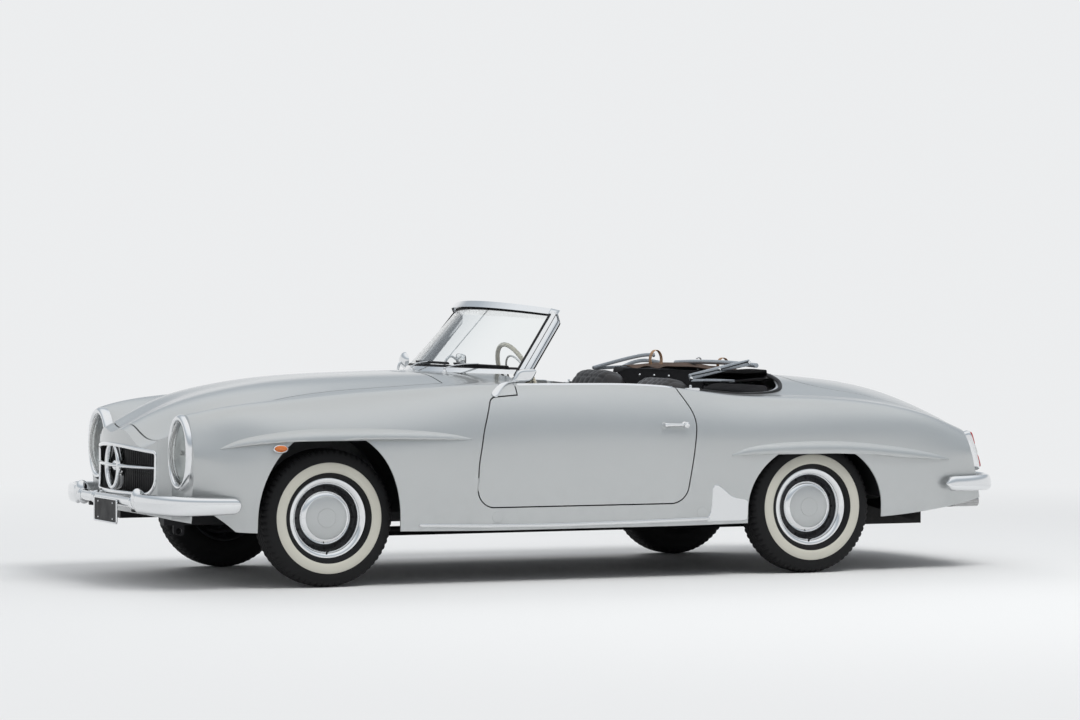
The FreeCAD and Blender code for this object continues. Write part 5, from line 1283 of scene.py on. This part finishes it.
class ROADSTER_OT_cabin(bpy.types.Operator):
    """Dress the dashboard, door cards, floor mats, levers and pedals"""

    bl_idname = "roadster.cabin"
    bl_label = "Cabin"

    def execute(self, context):
        copied_node("dashboard", "root", "leather", 30)
        face = Shape()
        for low, high in (((326, -604, 742), (333, 236, 858)), ((326, 504, 742), (333, 604, 858))):
            face.add(rounded_box(low, high, 9.0, 34), (False, True), 3)
        face.add(rounded_box((321.5, -560, 756), (328, -250, 846), 9.0, 30), (False, True), 3)
        dial(face, (337, 318, 893), 47, 17)
        dial(face, (337, 422, 893), 47, 17)
        for y, z, radius in ((370, 826, 24), (60, 800, 33), (170, 800, 24), (-50, 800, 24)):
            dial(face, (326 if z == 800 else 337, y, z), radius, 9)
        for y in (-200, -170, 115, 215):
            knob = [(4, 0), (4, 12), (9, 13), (11, 18), (10, 24), (0, 26)]
            face.turn(knob, (327, y, 765 if y > 0 else 800), "x", -1, 28, 4)
        rail = [(324, -560, 868), (300, -548, 872), (296, -500, 873), (296, -300, 873), (300, -252, 872),
                (324, -240, 868)]
        face.rod(tube(rail, 6, 60, 14))
        face.turn([(9, 0), (9, 4), (12, 9), (8, 13), (0, 14)], (322, -405, 838), "x", -1, 28)
        y = np.linspace(-600, 600, 90)
        edge = xyz(326.0, y, 738.0)
        face.rod(swept(edge, round_section(4, 4, 2.0, 12), (1.0, 0, 0)))
        face.build("dashboard_face", "root", ["bright", "dial", "ivory", "cap_paint", "ivory"], "body_paint",
                   smooth=40)

        for side, name in ((1, "left"), (-1, "right")):
            card = Shape()
            x = np.linspace(-372, 402, 60)[:, None]
            z = np.linspace(384, 828, 44)[None, :]
            rise = 1 - np.abs((x - 15) / 387) ** 10
            swell = np.clip(rise * (1 - np.abs((z - 606) / 222) ** 10), 0, 1) ** 0.5
            pleat = np.abs(np.cos(math.pi * (x - 15) / 64)) ** 0.35
            panel = (z > 440) & (z < 700)
            thick = 9 * swell - 2.5 * (1 - pleat) * np.where(panel, 1, 0) * (swell > 0.9)
            y_in = np.interp(z, DOOR_WALL_Z, DOOR_WALL_Y)
            front = xyz(x, (y_in - 0.8 - thick) * side, z)
            back = xyz(x, (y_in - 0.4) * side, z)
            card.rod(np.concatenate([front, back[:, ::-1]], 1))
            pull = [(60, 762, 690), (60, 735, 694), (0, 730, 696), (-90, 730, 696), (-150, 735, 694),
                    (-150, 762, 690)]
            card.rod(tube(np.array(pull, float) * [1, side, 1], 7, 50, 14), 1)
            lever = np.array([(210, 768, 640), (210, 742, 640), (196, 738, 640), (130, 738, 650)], float)
            card.rod(tube(lever * [1, side, 1], 5.5, 30, 12), 1)
            item = card.build("door_card_" + name, "door_" + name, ["leather", "bright"], "seat_leather",
                              smooth=50)

        floor = Shape()
        for side in (1, -1):
            x = np.linspace(-330, 640, 150)[:, None]
            y = np.array([122, 140, 159, 161, 300, 440, 580, 715, 717, 736, 756.0])[None, :]
            rib = 2.0 * np.clip(np.cos(x * 2 * math.pi / 26) * 2, 0, 1) * ((y > 160) & (y < 716) & (x > 160))
            top = xyz(x, y, 263 + rib)
            low = top.copy()
            low[..., 2] = 257.6
            floor.rod(np.concatenate([top, low[:, ::-1]], 1) * [1, side, 1])
        floor.build("floor_mats", "root", ["mat"], "tyre_rubber", smooth=40)

        levers = Shape()
        cone = [(52, 0), (50, 8), (40, 22), (26, 42), (17, 58), (13, 70), (0, 72)]
        levers.turn(cone, (250, 0, 430.5), "z", 1, 48, 1)
        levers.rod(tube([(250, 0, 480), (236, 4, 540), (196, 10, 640)], 6, 24, 12))
        knob = [(0, -22), (9, -20), (17, -12), (20, 0), (18, 11), (10, 19), (0, 21)]
        levers.turn(knob, (193, 10, 650), "z", 1, 36, 2)
        levers.rod(tube([(150, -62, 432), (120, -62, 462), (20, -62, 512)], 8, 24, 12))
        levers.rod(tube([(60, -62, 494), (20, -62, 513), (-70, -62, 556)], 12, 24, 16), 1)
        for y, width in ((270, 26), (360, 30), (465, 30)):
            arm = [(668, y, 560), (640, y, 470), (606, y, 400)]
            levers.rod(tube(arm, 7, 20, 10), 3)
            pad = rounded_box((-7, -width, -36), (7, width, 36), 5.0, 20)
            pad[..., 0] += pad[..., 2] * 0.5
            levers.add(pad + [600, y, 392], (False, True), 1)
        levers.build("levers_and_pedals", "root", ["bright", "black", "ivory", "chassis"],
                     "chrome", smooth=45)
        return {"FINISHED"}


# ---- Seats

SEAT_SIDE = 368.0
SEAT_HALF = 245.0
SQUAB_FOOT = np.array([-395.0, 0.0, 375.0])
SQUAB_LEAN = math.radians(13)
# The covers: size of the even mesh and the furthest any point may move, in metres, then the cloth.
COVER_CELL = COVER_MOVE = 0.011
COVER_PRESSURE, COVER_MASS, COVER_STEPS = 4.0, 0.3, 20


def lean_back(points, way=1):
    """Turn points about the foot of the squab, backwards, or upright again."""
    c, s = math.cos(SQUAB_LEAN), math.sin(SQUAB_LEAN) * way
    turn = np.array([[c, 0, s], [0, 1, 0], [-s, 0, c]])
    return (points - SQUAB_FOOT) @ turn + SQUAB_FOOT


def points_of(item):
    """The points of a piece, in metres."""
    return values_of(item.data.vertices, "co", 3).astype(float)


def move_points(item, points):
    """Put the points of a piece elsewhere."""
    item.data.vertices.foreach_set("co", points.astype(np.float32).ravel())
    item.data.update()


def applied(item, modifier):
    """Put the mesh that a modifier makes in place of the piece's own."""
    graph = bpy.context.evaluated_depsgraph_get()
    mesh = bpy.data.meshes.new_from_object(item.evaluated_get(graph))
    item.modifiers.remove(modifier)
    old = item.data
    item.data = mesh
    bpy.data.meshes.remove(old)


def swelled(item):
    """Fill a closed cover: even mesh, cloth under pressure without gravity, no point moved beyond a cap."""
    even = item.modifiers.new("even_mesh", "REMESH")
    even.mode = "VOXEL"
    even.voxel_size = COVER_CELL
    applied(item, even)
    start = points_of(item)
    fill = item.modifiers.new("filling", "CLOTH")
    fill.settings.use_pressure = True
    fill.settings.uniform_pressure_force = COVER_PRESSURE
    fill.settings.effector_weights.gravity = 0.0
    fill.settings.mass = COVER_MASS
    fill.collision_settings.use_collision = False
    fill.point_cache.frame_start, fill.point_cache.frame_end = 1, COVER_STEPS
    scene = bpy.context.scene
    for step in range(1, COVER_STEPS + 1):
        scene.frame_set(step)
    applied(item, fill)
    scene.frame_set(1)
    moved = points_of(item) - start
    length = np.linalg.norm(moved, axis=1, keepdims=True)
    move_points(item, start + moved * np.minimum(1, COVER_MOVE / np.maximum(length, 1e-9)))
    finer = item.modifiers.new("rounder", "SUBSURF")
    finer.levels = finer.render_levels = 1
    applied(item, finer)
    item.data.shade_smooth()
    return item


def sew(item, side, squab, sizes):
    """Draw the cover in along its seams, by the place of each point on the pad.

    Pleats are arches across the pad with a narrow valley at each seam; a welt runs round
    the pleated middle, where a flattened oval about the pad's middle has one value.
    """
    points = points_of(item) / MM
    out = values_of(item.data.vertex_normals, "vector", 3).astype(float)
    if squab:
        upright = lean_back(points, -1)
        facing = out @ np.array([math.cos(SQUAB_LEAN), 0, math.sin(SQUAB_LEAN)])
        level, middle, half = upright[:, 2], 655.0, 280.0
        shown = np.clip(facing * 2 + 1.2, 0, 1) * np.clip(1.35 - np.abs(out[:, 1]) * 1.6, 0, 1)
        inside = np.clip((level - 455) / 20, 0, 1)
    else:
        level, middle, half = points[:, 0], -100.0, 250.0
        shown = np.clip(out[:, 2] * 2.4, 0, 1)
        inside = np.clip((level + 300) / 20, 0, 1)
    aside = points[:, 1] - SEAT_SIDE * side
    place = aside / sizes.pleat_width
    field = np.clip((SEAT_HALF - 48 - np.abs(aside)) / 6, 0, 1)
    depth = -sizes.pleat_depth * (1 - np.abs(np.sin(math.pi * place)) ** 0.8) * shown * inside * field
    oval = ((np.abs(aside) / (SEAT_HALF - 40)) ** 8 + (np.abs(level - middle) / (half - 30)) ** 8) ** 0.125
    seam = np.exp(-((oval - 1.0) / 0.024) ** 2) * shown
    depth = depth - 3.0 * seam + 1.5 * np.exp(-((oval - 1.05) / 0.022) ** 2) * shown
    move_points(item, (points + out * depth[:, None]) * MM)


class ROADSTER_OT_seats(bpy.types.Operator):
    """Fill and sew the leather cushions and squabs, on their runners"""

    bl_idname = "roadster.seats"
    bl_label = "Seats"

    def execute(self, context):
        sizes = context.scene.roadster_sizes
        for side, name in ((1, "left"), (-1, "right")):
            y = SEAT_SIDE * side
            for squab in (False, True):
                pad = Shape()
                if squab:
                    ahead, top = (-312, 932) if side > 0 else (-308, 958)
                    grid = pillow((ahead - 162, y - 243, 384), (ahead, y + 243, top), 0, 5.0, 3.8)
                    share = np.clip((grid[..., 2] - 700) / 220, 0, 1)
                    grid[..., 1] = y + (grid[..., 1] - y) * (1 - 0.05 * share ** 2)
                    grid = lean_back(grid)
                else:
                    grid = pillow((-322, y - 240, 328), (146, y + 240, 460), 2, 6.0, 3.2)
                pad.add(grid, (False, True))
                label = "seat_%s_%s" % ("squab" if squab else "cushion", name)
                item = swelled(pad.build(label, "root", ["leather"], "seat_leather", smooth=180))
                sew(item, side, squab, sizes)
                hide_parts("seats")
        frames = Shape()
        for side in (1, -1):
            for offset in (-150, 150):
                y = SEAT_SIDE * side + offset
                rail = [(-320, y, 262), (0, y, 262), (110, y, 262)]
                frames.rod(swept(curve(rail, 20), round_section(16, 5, 5.0, 16), (0, 0, 1.0)))
                for x in (-290, 60):
                    frames.rod(tube([(x, y, 264), (x, y, 300), (x, y, 352)], 11, 8, 14))
            for offset in (-246, 246):
                y = SEAT_SIDE * side + offset
                knee = [(-330, y, 400), (-372, y, 408), (-402, y, 450), (-425, y, 540)]
                frames.rod(swept(curve(knee, 30), round_section(13, 3.5, 3.0, 14), (0, 1.0, 0)), 1)
        frames.build("seat_frames", "root", ["chassis", "bright"], "chassis_metal", smooth=45)
        return {"FINISHED"}


# ---- Folded top

# Half the width of the folded top at places along the car.
TOP_PLAN_X = np.array([-1125.0, -1110, -1085, -1010, -900, -770, -660, -640])
TOP_PLAN_Y = np.array([90.0, 150, 330, 470, 548, 572, 536, 520])


def crumple(x, y, seed):
    """Soft creases: a sum of waves in five directions, between -1 and 1."""
    turns = np.arange(5) * 1.256 + seed
    waves = [np.sin((x * math.cos(t) + y * math.sin(t)) / (38 + 17 * i) + seed * (i + 2))
             for i, t in enumerate(turns)]
    return sum(waves) / 5


def cloth_sheet(name, grid, kind, thickness):
    """One sheet of cloth from its grid of points, with a live wall thickness."""
    item = Shape().add(grid).build(name, "root", [kind], "top_fabric", smooth=180)
    wall = item.modifiers.new("cloth_thickness", "SOLIDIFY")
    wall.thickness = thickness * MM
    wall.offset = 0.0
    return item


class ROADSTER_OT_folded_top(bpy.types.Operator):
    """Lay the folded cloth top, its lining, curtain, straps, side frames and edge roll"""

    bl_idname = "roadster.folded_top"
    bl_label = "Folded top"

    def execute(self, context):
        fold = [(-1092, 868), (-1062, 846), (-960, 838), (-800, 836), (-690, 838), (-652, 852), (-650, 878),
                (-690, 892), (-820, 892), (-960, 896), (-1030, 900), (-1052, 914), (-1036, 930), (-960, 934),
                (-820, 936), (-700, 938), (-656, 934), (-646, 914), (-650, 896)]
        line = curve(fold, 140)
        t = np.linspace(-1, 1, 110)[None, :]
        x = line[:, 0][:, None] + 0 * t
        half = np.interp(x, TOP_PLAN_X, TOP_PLAN_Y) - 14
        y = half * t
        gather = np.clip((np.abs(t) - 0.78) / 0.2, 0, 1)
        layer = np.linspace(0, 1, len(line))[:, None]
        z = line[:, 1][:, None] + 4.5 * crumple(x, y, 1.7) * (0.5 + layer)
        z = z + gather * layer * (10 + 16 * np.exp(-((x + 900) / 110) ** 2))
        x = x + 5 * crumple(y, z * 2, 0.4)
        main = xyz(x, y, z)
        item = cloth_sheet("top_cloth", main, "cloth", 2.4)
        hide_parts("folded_top")

        rows = np.linspace(0, 1, 40)[:, None]
        t = np.linspace(-1, 1, 100)[None, :]
        x = -622 - 26 * rows ** 0.6 + 4 * crumple(t * 500, rows * 180, 2.2) * rows + 0 * t
        y = 528 * t + 0 * rows
        z = 774 + (172 - 46 * np.clip((-t - 0.55) / 0.45, 0, 1) ** 1.4) * (1 - rows)
        x = x - 16 * (1 - rows) ** 2
        curtain = xyz(x, y, z)
        cloth_sheet("well_curtain", curtain, "cloth", 2.0)

        rows = np.linspace(0, 1, 72)[:, None]
        t = np.linspace(0, 1, 86)[None, :]
        x = -652 - 408 * rows + 0 * t
        y = 118 - 560 * t + 24 * np.sin(rows * 5) + 0 * rows
        z = 952 + 14 * np.clip(t * 1.4, 0, 1) * np.sin(math.pi * rows) ** 0.6
        z = z + 7 * crumple(x * 1.3, y * 0.7, 3.1)
        z = z + 6 * np.cos(t * 14 + rows * 3) - 6 * rows
        lining = xyz(x, y, z)
        cloth_sheet("top_lining", lining, "lining", 1.8)

        tight = Shape()
        for x, y, base, high, wide in ((-655, -30, 958, 84, 30), (-1030, -60, 938, 62, 27)):
            t = np.linspace(-0.42, math.pi + 0.42, 40)
            path = xyz(x + wide * np.cos(t), y, base + high * (0.36 + 0.58 * np.sin(t)))
            tight.rod(swept(path, round_section(15, 1.6, 5.0, 14), (1.0, 0, 0.001)))
        tight.build("top_straps", "root", ["tan"], "seat_leather", smooth=50)

        rails = Shape()
        flat_bar = round_section(1, 1, 4.5, 16)

        def bar(points, wide, thick, kind=0):
            path = curve(points, 40)
            rails.rod(swept(path, flat_bar, (0, 0.0, 1.0), np.tile([thick, wide], (40, 1))), kind)

        bar([(-548, -532, 944), (-660, -528, 972), (-812, -518, 1004), (-872, -512, 1006)], 9, 5)
        bar([(-556, -541, 940), (-640, -540, 944), (-720, -536, 948)], 8, 4)
        bar([(-700, -530, 944), (-760, -528, 968), (-830, -524, 978), (-900, -505, 968)], 9, 5)
        bar([(-566, 536, 917), (-640, 534, 934), (-760, 530, 960), (-886, 522, 984)], 15, 7)
        bar([(-572, 545, 902), (-680, 543, 903), (-800, 540, 898)], 6, 3.5)
        bar([(-575, 547, 925), (-700, 545, 948), (-880, 536, 990)], 2.6, 3, 2)
        y = np.linspace(-452, 452, 60)
        path = xyz(-960.0, y, 977 - 9 * (y / 452) ** 2)
        rails.rod(swept(path, round_section(11, 11, 2.0, 18), (1.0, 0, 0)))
        for x, y, z in ((-552, -541, 944), (-715, -541, 950), (-870, -522, 1002), (-572, 548, 912),
                        (-880, 538, 984), (-722, 541, 953)):
            rivet = [(8, -5), (8, 3), (6, 5.5), (0, 6.5)]
            rails.turn(rivet, (x, y, z), "y", 1 if y > 0 else -1, 24, 1)
        for y in (-430, -158, 10, 177, 430):
            rails.turn([(7, -1), (6.5, 2), (4, 4), (0, 4.6)], (-629, y, 915), "x", 1, 20, 1)
        hook = [(-1000, -250, 966), (-1004, -250, 985), (-990, -250, 996), (-978, -250, 990)]
        rails.rod(tube(hook, 4, 24, 10), 1)
        rails.build("top_frames", "root", ["bow", "bright", "black"], "bow_metal", smooth=45,
                    stands_for="top_bows")

        roll = Shape()
        half = np.array([(-486, 684), (-560, 676), (-640, 669), (-740, 657), (-850, 634), (-960, 592),
                         (-1040, 530), (-1092, 430), (-1122, 300), (-1136, 160), (-1140, 0)], float)
        plan = np.vstack([half, (half * [1, -1])[-2::-1]])
        plan = curve(plan, 260)
        ground, _ = crown(plan[:, 0], plan[:, 1])
        sink = np.interp(np.abs(plan[:, 1]), [430, 560, 640, 690], [4, -2, -6, -2])
        path = ground + xyz(0, 0, sink)
        roll.rod(swept(path, round_section(10, 11, 2.0, 20), (0, 0, 1.0)))
        for side in (1, -1):
            plate = rounded_box((-536, 690, 856), (-466, 722, 872), 5.0, 20) * [1, side, 1]
            roll.add(plate, (False, True), 1)
            roll.turn([(6, 0), (6, 14), (4, 17), (0, 17.5)], (-492, 706 * side, 868), "z", 1, 20, 1)
        roll.build("cockpit_edge_roll", "root", ["black", "bright"], "tyre_rubber", smooth=50)
        return {"FINISHED"}


# ---- Tail lamps and trims of the sides

TAIL_LAMP = np.array([-1986.0, 690.0, 556.0])
TAIL_TURN, TAIL_LEAN = math.radians(-16), math.radians(17)
# Front and rear edges of the stone guard at heights, in millimetres.
GUARD_FRONT = ((256, 262, 269, 286, 302, 344, 412, 424, 428),
               (-515, -503, -501, -519, -527, -533, -536, -542, -556))
GUARD_REAR = ((256, 262, 280, 349, 355, 358, 364, 372, 414, 424, 428),
              (-690, -714, -719, -719, -712, -690, -660, -636, -583, -566, -557))


def at_tail(points, side):
    """Points given about the tail lamp's middle, turned as the lamp is and set on one side."""
    c, s = math.cos(TAIL_TURN), math.sin(TAIL_TURN)
    points = points @ np.array([[c, s, 0], [-s, c, 0], [0, 0, 1]])
    c, s = math.cos(TAIL_LEAN), math.sin(TAIL_LEAN)
    points = points @ np.array([[c, 0, -s], [0, 1, 0], [s, 0, c]])
    return (points + TAIL_LAMP) * np.array([1.0, side, 1.0])


def on_flank(x, z, lift, side):
    """Points on the side of the car, lifted outwards."""
    here, out = flank(x, z, side)
    return here + out * lift, out


class ROADSTER_OT_side_trims(bpy.types.Operator):
    """Set the tail lamps, side indicators, sill trims, stone guards and jack covers"""

    bl_idname = "roadster.side_trims"
    bl_label = "Lamps and trims of the sides"

    def execute(self, context):
        lamps = Shape()
        for side in (1, -1):
            lamps.add(at_tail(rounded_box((-26, -31, -98), (30, 31, 98), 5.0, 36), side), (False, True), 0)
            for low, high, kind in ((22, 88, 1), (-22, 20, 2), (-88, -24, 1)):
                lamps.add(at_tail(rounded_box((-31, -21, low), (-12, 21, high), 4.0, 30), side),
                          (False, True), kind)
            for z in (21, -23):
                ledge = rounded_box((-29.5, -22, z - 2), (-12, 22, z + 2), 6.0, 14)
                lamps.add(at_tail(ledge, side), (False, True), 0)
        lamps.build("tail_lamps_dressed", "root", ["bright", "red", "clear"], "tail_lens", smooth=45,
                    stands_for="tail_lamps")

        trims = Shape()
        for side in (1, -1):
            s = np.linspace(0, 1, 120)
            ends = np.sqrt(np.clip(1 - np.clip((np.abs(s - 0.5) - 0.494) / 0.006, 0, 1) ** 2, 0.05, 1))
            x = 922 - 1446 * s
            path, out = on_flank(x, np.interp(-x, [-922, -613, -256, 107, 524], [272, 262, 258, 262, 270]),
                                 2.5, side)
            size = np.stack([9 * ends, 4.5 * ends], -1)
            trims.rod(swept(path, round_section(1, 1, 2.6, 14), out, size))
            for x in (540, -484):
                r, t = np.linspace(0, 1, 14)[None, :], around(40)[:, None]
                disc, out = on_flank(x + 27 * r * np.cos(t), 300 + 27 * r * np.sin(t), 0, side)
                rise = np.where(r > 0.99, 0.2, 1.4 + 0.5 * (1 - r ** 2)) + 0 * t
                trims.add(disc + out * rise[..., None], (True, False), 2)
            z = np.linspace(256, 428, 70)[:, None]
            front = np.interp(z, GUARD_FRONT[0], GUARD_FRONT[1])
            rear = np.interp(z, GUARD_REAR[0], GUARD_REAR[1])
            w = (1 - np.cos(np.linspace(0, math.pi, 50)))[None, :] / 2
            reach = np.abs(rear - front)
            rim = np.minimum(np.minimum(z - 256, 428 - z) / 5, np.minimum(w, 1 - w) * reach / 5)
            plate, out = on_flank(front + (rear - front) * w, z + 0 * w, 0, side)
            plate = plate + out * (0.3 + 2.6 * np.clip(rim, 0, 1) ** 0.5)[..., None]
            trims.add(plate, finish=0)
            lens, t = np.linspace(-math.pi / 2, math.pi / 2, 16)[None, :], around(48)[:, None]
            here, out = on_flank(1580.0, 622.0, 0, side)
            dome = xyz(30 * np.cos(lens) * np.cos(t), 16 * np.sin(lens), 15 * np.cos(lens) * np.sin(t))
            trims.add(dome * [1, side, 1] + here + out * 20, (True, False), 1)
            base = xyz(36 * np.cos(lens) * np.cos(t), 13 * np.sin(lens), 20 * np.cos(lens) * np.sin(t))
            trims.add(base * [1, side, 1] + here + out * 14, (True, False), 0)
        trims.build("side_trims", "root", ["trim", "amber", "cap_paint"], "chrome", smooth=45)

        for side, name in ((1, "left"), (-1, "right")):
            here, out = flank(-398.0, 705.0, side)
            boss = [(17, -2), (16.5, 3), (14, 7), (11, 10), (10.5, 22), (13.5, 26), (14.5, 30), (13, 33),
                    (9, 34.5), (8, 33), (5, 32.5), (0, 32.5)]
            lock = Shape().turn(boss, here, "y", side, 40)
            lock.build("door_lock_" + name, "door_" + name, ["bright"], "chrome", smooth=45)
        return {"FINISHED"}


# ---- Underside

UNDERSIDE = ("floor_pan", "firewall", "rear_bulkhead", "boot_floor", "wheel_houses", "frame_rails")
RUNNING_GEAR = {
    "front_axle": ("root", "chassis"), "rear_axle": ("root", "chassis"), "driveline": ("root", "engine"),
    "knuckle_left": ("knuckle_left", "pipe"), "knuckle_right": ("knuckle_right", "pipe"),
    "exhaust": ("root", "pipe"), "engine_block": ("root", "engine"),
}


class ROADSTER_OT_underside(bpy.types.Operator):
    """Finish the floor, frame, axles, engine and pipes"""

    bl_idname = "roadster.underside"
    bl_label = "Underside"

    def execute(self, context):
        for node in UNDERSIDE:
            repaint(node, "chassis")
        for node, (body, kind) in RUNNING_GEAR.items():
            copied_node(node, body, kind, 35)
        return {"FINISHED"}


# ---- Stage

# In metres: the floor and where it fades, the camera as fitted to the photo, then each lamp's
# name, place, aim, width, height and power.
FLOOR_REACH, FLOOR_FADE = 60.0, (2.6, 9.0)
CAMERA_PLACE, CAMERA_WAY = (7.4498, 17.4402, 1.3184), (-0.39423, -0.91885, -0.01711)
CAMERA_LENS, CAMERA_FAR = 132.61, 400
LAMPS = (
    ("key", (-2.0, 5.0, 9.5), (0, 0, 0.6), 6.0, 4.0, 640),
    ("front", (8.5, 4.0, 5.0), (1.5, 0, 0.6), 4.0, 3.0, 80),
    ("far", (0.5, -8.0, 7.0), (0, 0, 0.6), 7.0, 4.0, 220),
)
# The sky that mirrors show, from below to above, and the even light that falls on the car.
SKY_STOPS = ((0.59, HORIZON), (0.66, (0.46, 0.50, 0.54)), (0.74, (0.50, 0.55, 0.60)),
             (0.86, (0.92, 0.95, 0.98)))
SKY_LIGHT, SKY_STRENGTH = (0.92, 0.95, 1.0, 1), 0.55


def look(item, way):
    """Turn a lamp or camera to face a direction."""
    item.rotation_euler = Vector(way).to_track_quat("-Z", "Y").to_euler()


class ROADSTER_OT_stage(bpy.types.Operator):
    """Lay the floor, light the studio and set the camera"""

    bl_idname = "roadster.stage"
    bl_label = "Stage"

    def execute(self, context):
        scene = context.scene
        colour = tuple(scene.roadster_colours.floor)
        mesh = bpy.data.meshes.new("studio_floor")
        corners = [(x * FLOOR_REACH, y * FLOOR_REACH, 0) for x, y in ((-1, -1), (1, -1), (1, 1), (-1, 1))]
        mesh.from_pydata(corners, [], [(0, 1, 2, 3)])
        floor = bpy.data.objects.new("studio_floor", mesh)
        scene.collection.objects.link(floor)
        made = Finish("studio_floor", colour, roughness=0.75, specular_ior_level=0.2)
        grit = made.noise(90, 5.0, 0.6)
        made.feed(base_color=grit.shades(colour, 0.97, 1.02))
        x, y, _ = made.axes()
        away = (x * x + y * y).math("SQRT").between(*FLOOR_FADE)
        rays = made.node("ShaderNodeLightPath")
        seen = rays.math("MAXIMUM", rays.other("Is Glossy Ray"))
        glow = made.node("ShaderNodeEmission", None, {"Color": HORIZON + (1.0,)})
        mixed = made.node("ShaderNodeMixShader", None,
                          [away * seen, Field(made, made.shader.outputs[0]), glow])
        made.tree.links.new(mixed.socket, made.output.inputs["Surface"])
        mesh.materials.append(made.material)

        world = bpy.data.worlds.new("studio")
        scene.world = world
        world.use_nodes = True
        sky = Nodes(world.node_tree)
        sky.tree.nodes.clear()
        height = sky.node("ShaderNodeSeparateXYZ", None, [sky.node("ShaderNodeTexCoord")], output=2)
        share = sky.node("ShaderNodeMath", {"operation": "MULTIPLY_ADD"}, [height, 0.5, 0.5])
        ramp = sky.node("ShaderNodeValToRGB", None, [share])
        stops = ramp.socket.node.color_ramp.elements
        stops[0].position, stops[0].color = 0.0, HORIZON + (1,)
        stops[1].position, stops[1].color = 1.0, (1.0, 1.0, 1.0, 1)
        for spot, tone in SKY_STOPS:
            stops.new(spot).color = tone + (1,)
        shown = sky.node("ShaderNodeBackground", None, {"Color": ramp})
        light = sky.node("ShaderNodeBackground", None, {"Color": SKY_LIGHT, "Strength": SKY_STRENGTH})
        rays = sky.node("ShaderNodeLightPath")
        seen = rays.math("MAXIMUM", rays.other("Is Glossy Ray")).math("MAXIMUM",
                                                                      rays.other("Is Transmission Ray"))
        mixed = sky.node("ShaderNodeMixShader", None, [seen, light, shown])
        sky.tree.links.new(mixed.socket, sky.tree.nodes.new("ShaderNodeOutputWorld").inputs["Surface"])

        for name, spot, aim, wide, tall, power in LAMPS:
            data = bpy.data.lights.new(name, "AREA")
            data.shape = "RECTANGLE"
            data.size, data.size_y, data.energy = wide, tall, power
            lamp = bpy.data.objects.new(name, data)
            lamp.location = spot
            lamp.visible_glossy = lamp.visible_transmission = False
            look(lamp, Vector(aim) - Vector(spot))
            scene.collection.objects.link(lamp)

        data = bpy.data.cameras.new("photo_view")
        data.sensor_width, data.lens, data.clip_end = 36.0, CAMERA_LENS, CAMERA_FAR
        camera = bpy.data.objects.new("photo_view", data)
        camera.location = CAMERA_PLACE
        look(camera, CAMERA_WAY)
        scene.collection.objects.link(camera)
        scene.camera = camera
        scene.view_settings.view_transform = "Standard"
        return {"FINISHED"}


OPERATORS = [
    ROADSTER_OT_panels,
    ROADSTER_OT_wheels,
    ROADSTER_OT_headlamps,
    ROADSTER_OT_grille,
    ROADSTER_OT_bumpers,
    ROADSTER_OT_windscreen,
    ROADSTER_OT_steering,
    ROADSTER_OT_cabin,
    ROADSTER_OT_seats,
    ROADSTER_OT_folded_top,
    ROADSTER_OT_side_trims,
    ROADSTER_OT_underside,
    ROADSTER_OT_stage,
]


class ROADSTER_PT_sidebar(bpy.types.Panel):
    """Lists the steps of the dressing"""

    bl_idname = "ROADSTER_PT_sidebar"
    bl_label = "Roadster"
    bl_space_type = "VIEW_3D"
    bl_region_type = "UI"
    bl_category = "Roadster"

    def draw(self, context):
        column = self.layout.column()
        for operator in OPERATORS:
            column.operator(operator.bl_idname, text=operator.bl_label)
        for group in (context.scene.roadster_sizes, context.scene.roadster_colours):
            for name in group.__annotations__:
                column.prop(group, name)


def register():
    """Add the property groups, the steps and the panel."""
    for item in [RoadsterSizes, RoadsterColours] + OPERATORS + [ROADSTER_PT_sidebar]:
        bpy.utils.register_class(item)
    bpy.types.Scene.roadster_sizes = PointerProperty(type=RoadsterSizes)
    bpy.types.Scene.roadster_colours = PointerProperty(type=RoadsterColours)


def unregister():
    """Take them away again."""
    del bpy.types.Scene.roadster_sizes
    del bpy.types.Scene.roadster_colours
    for item in reversed([RoadsterSizes, RoadsterColours] + OPERATORS + [ROADSTER_PT_sidebar]):
        bpy.utils.unregister_class(item)


def main():
    """Run every step in order."""
    register()
    for operator in OPERATORS:
        group, name = operator.bl_idname.split(".")
        getattr(getattr(bpy.ops, group), name)()
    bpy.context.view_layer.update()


if __name__ == "__main__":
    main()
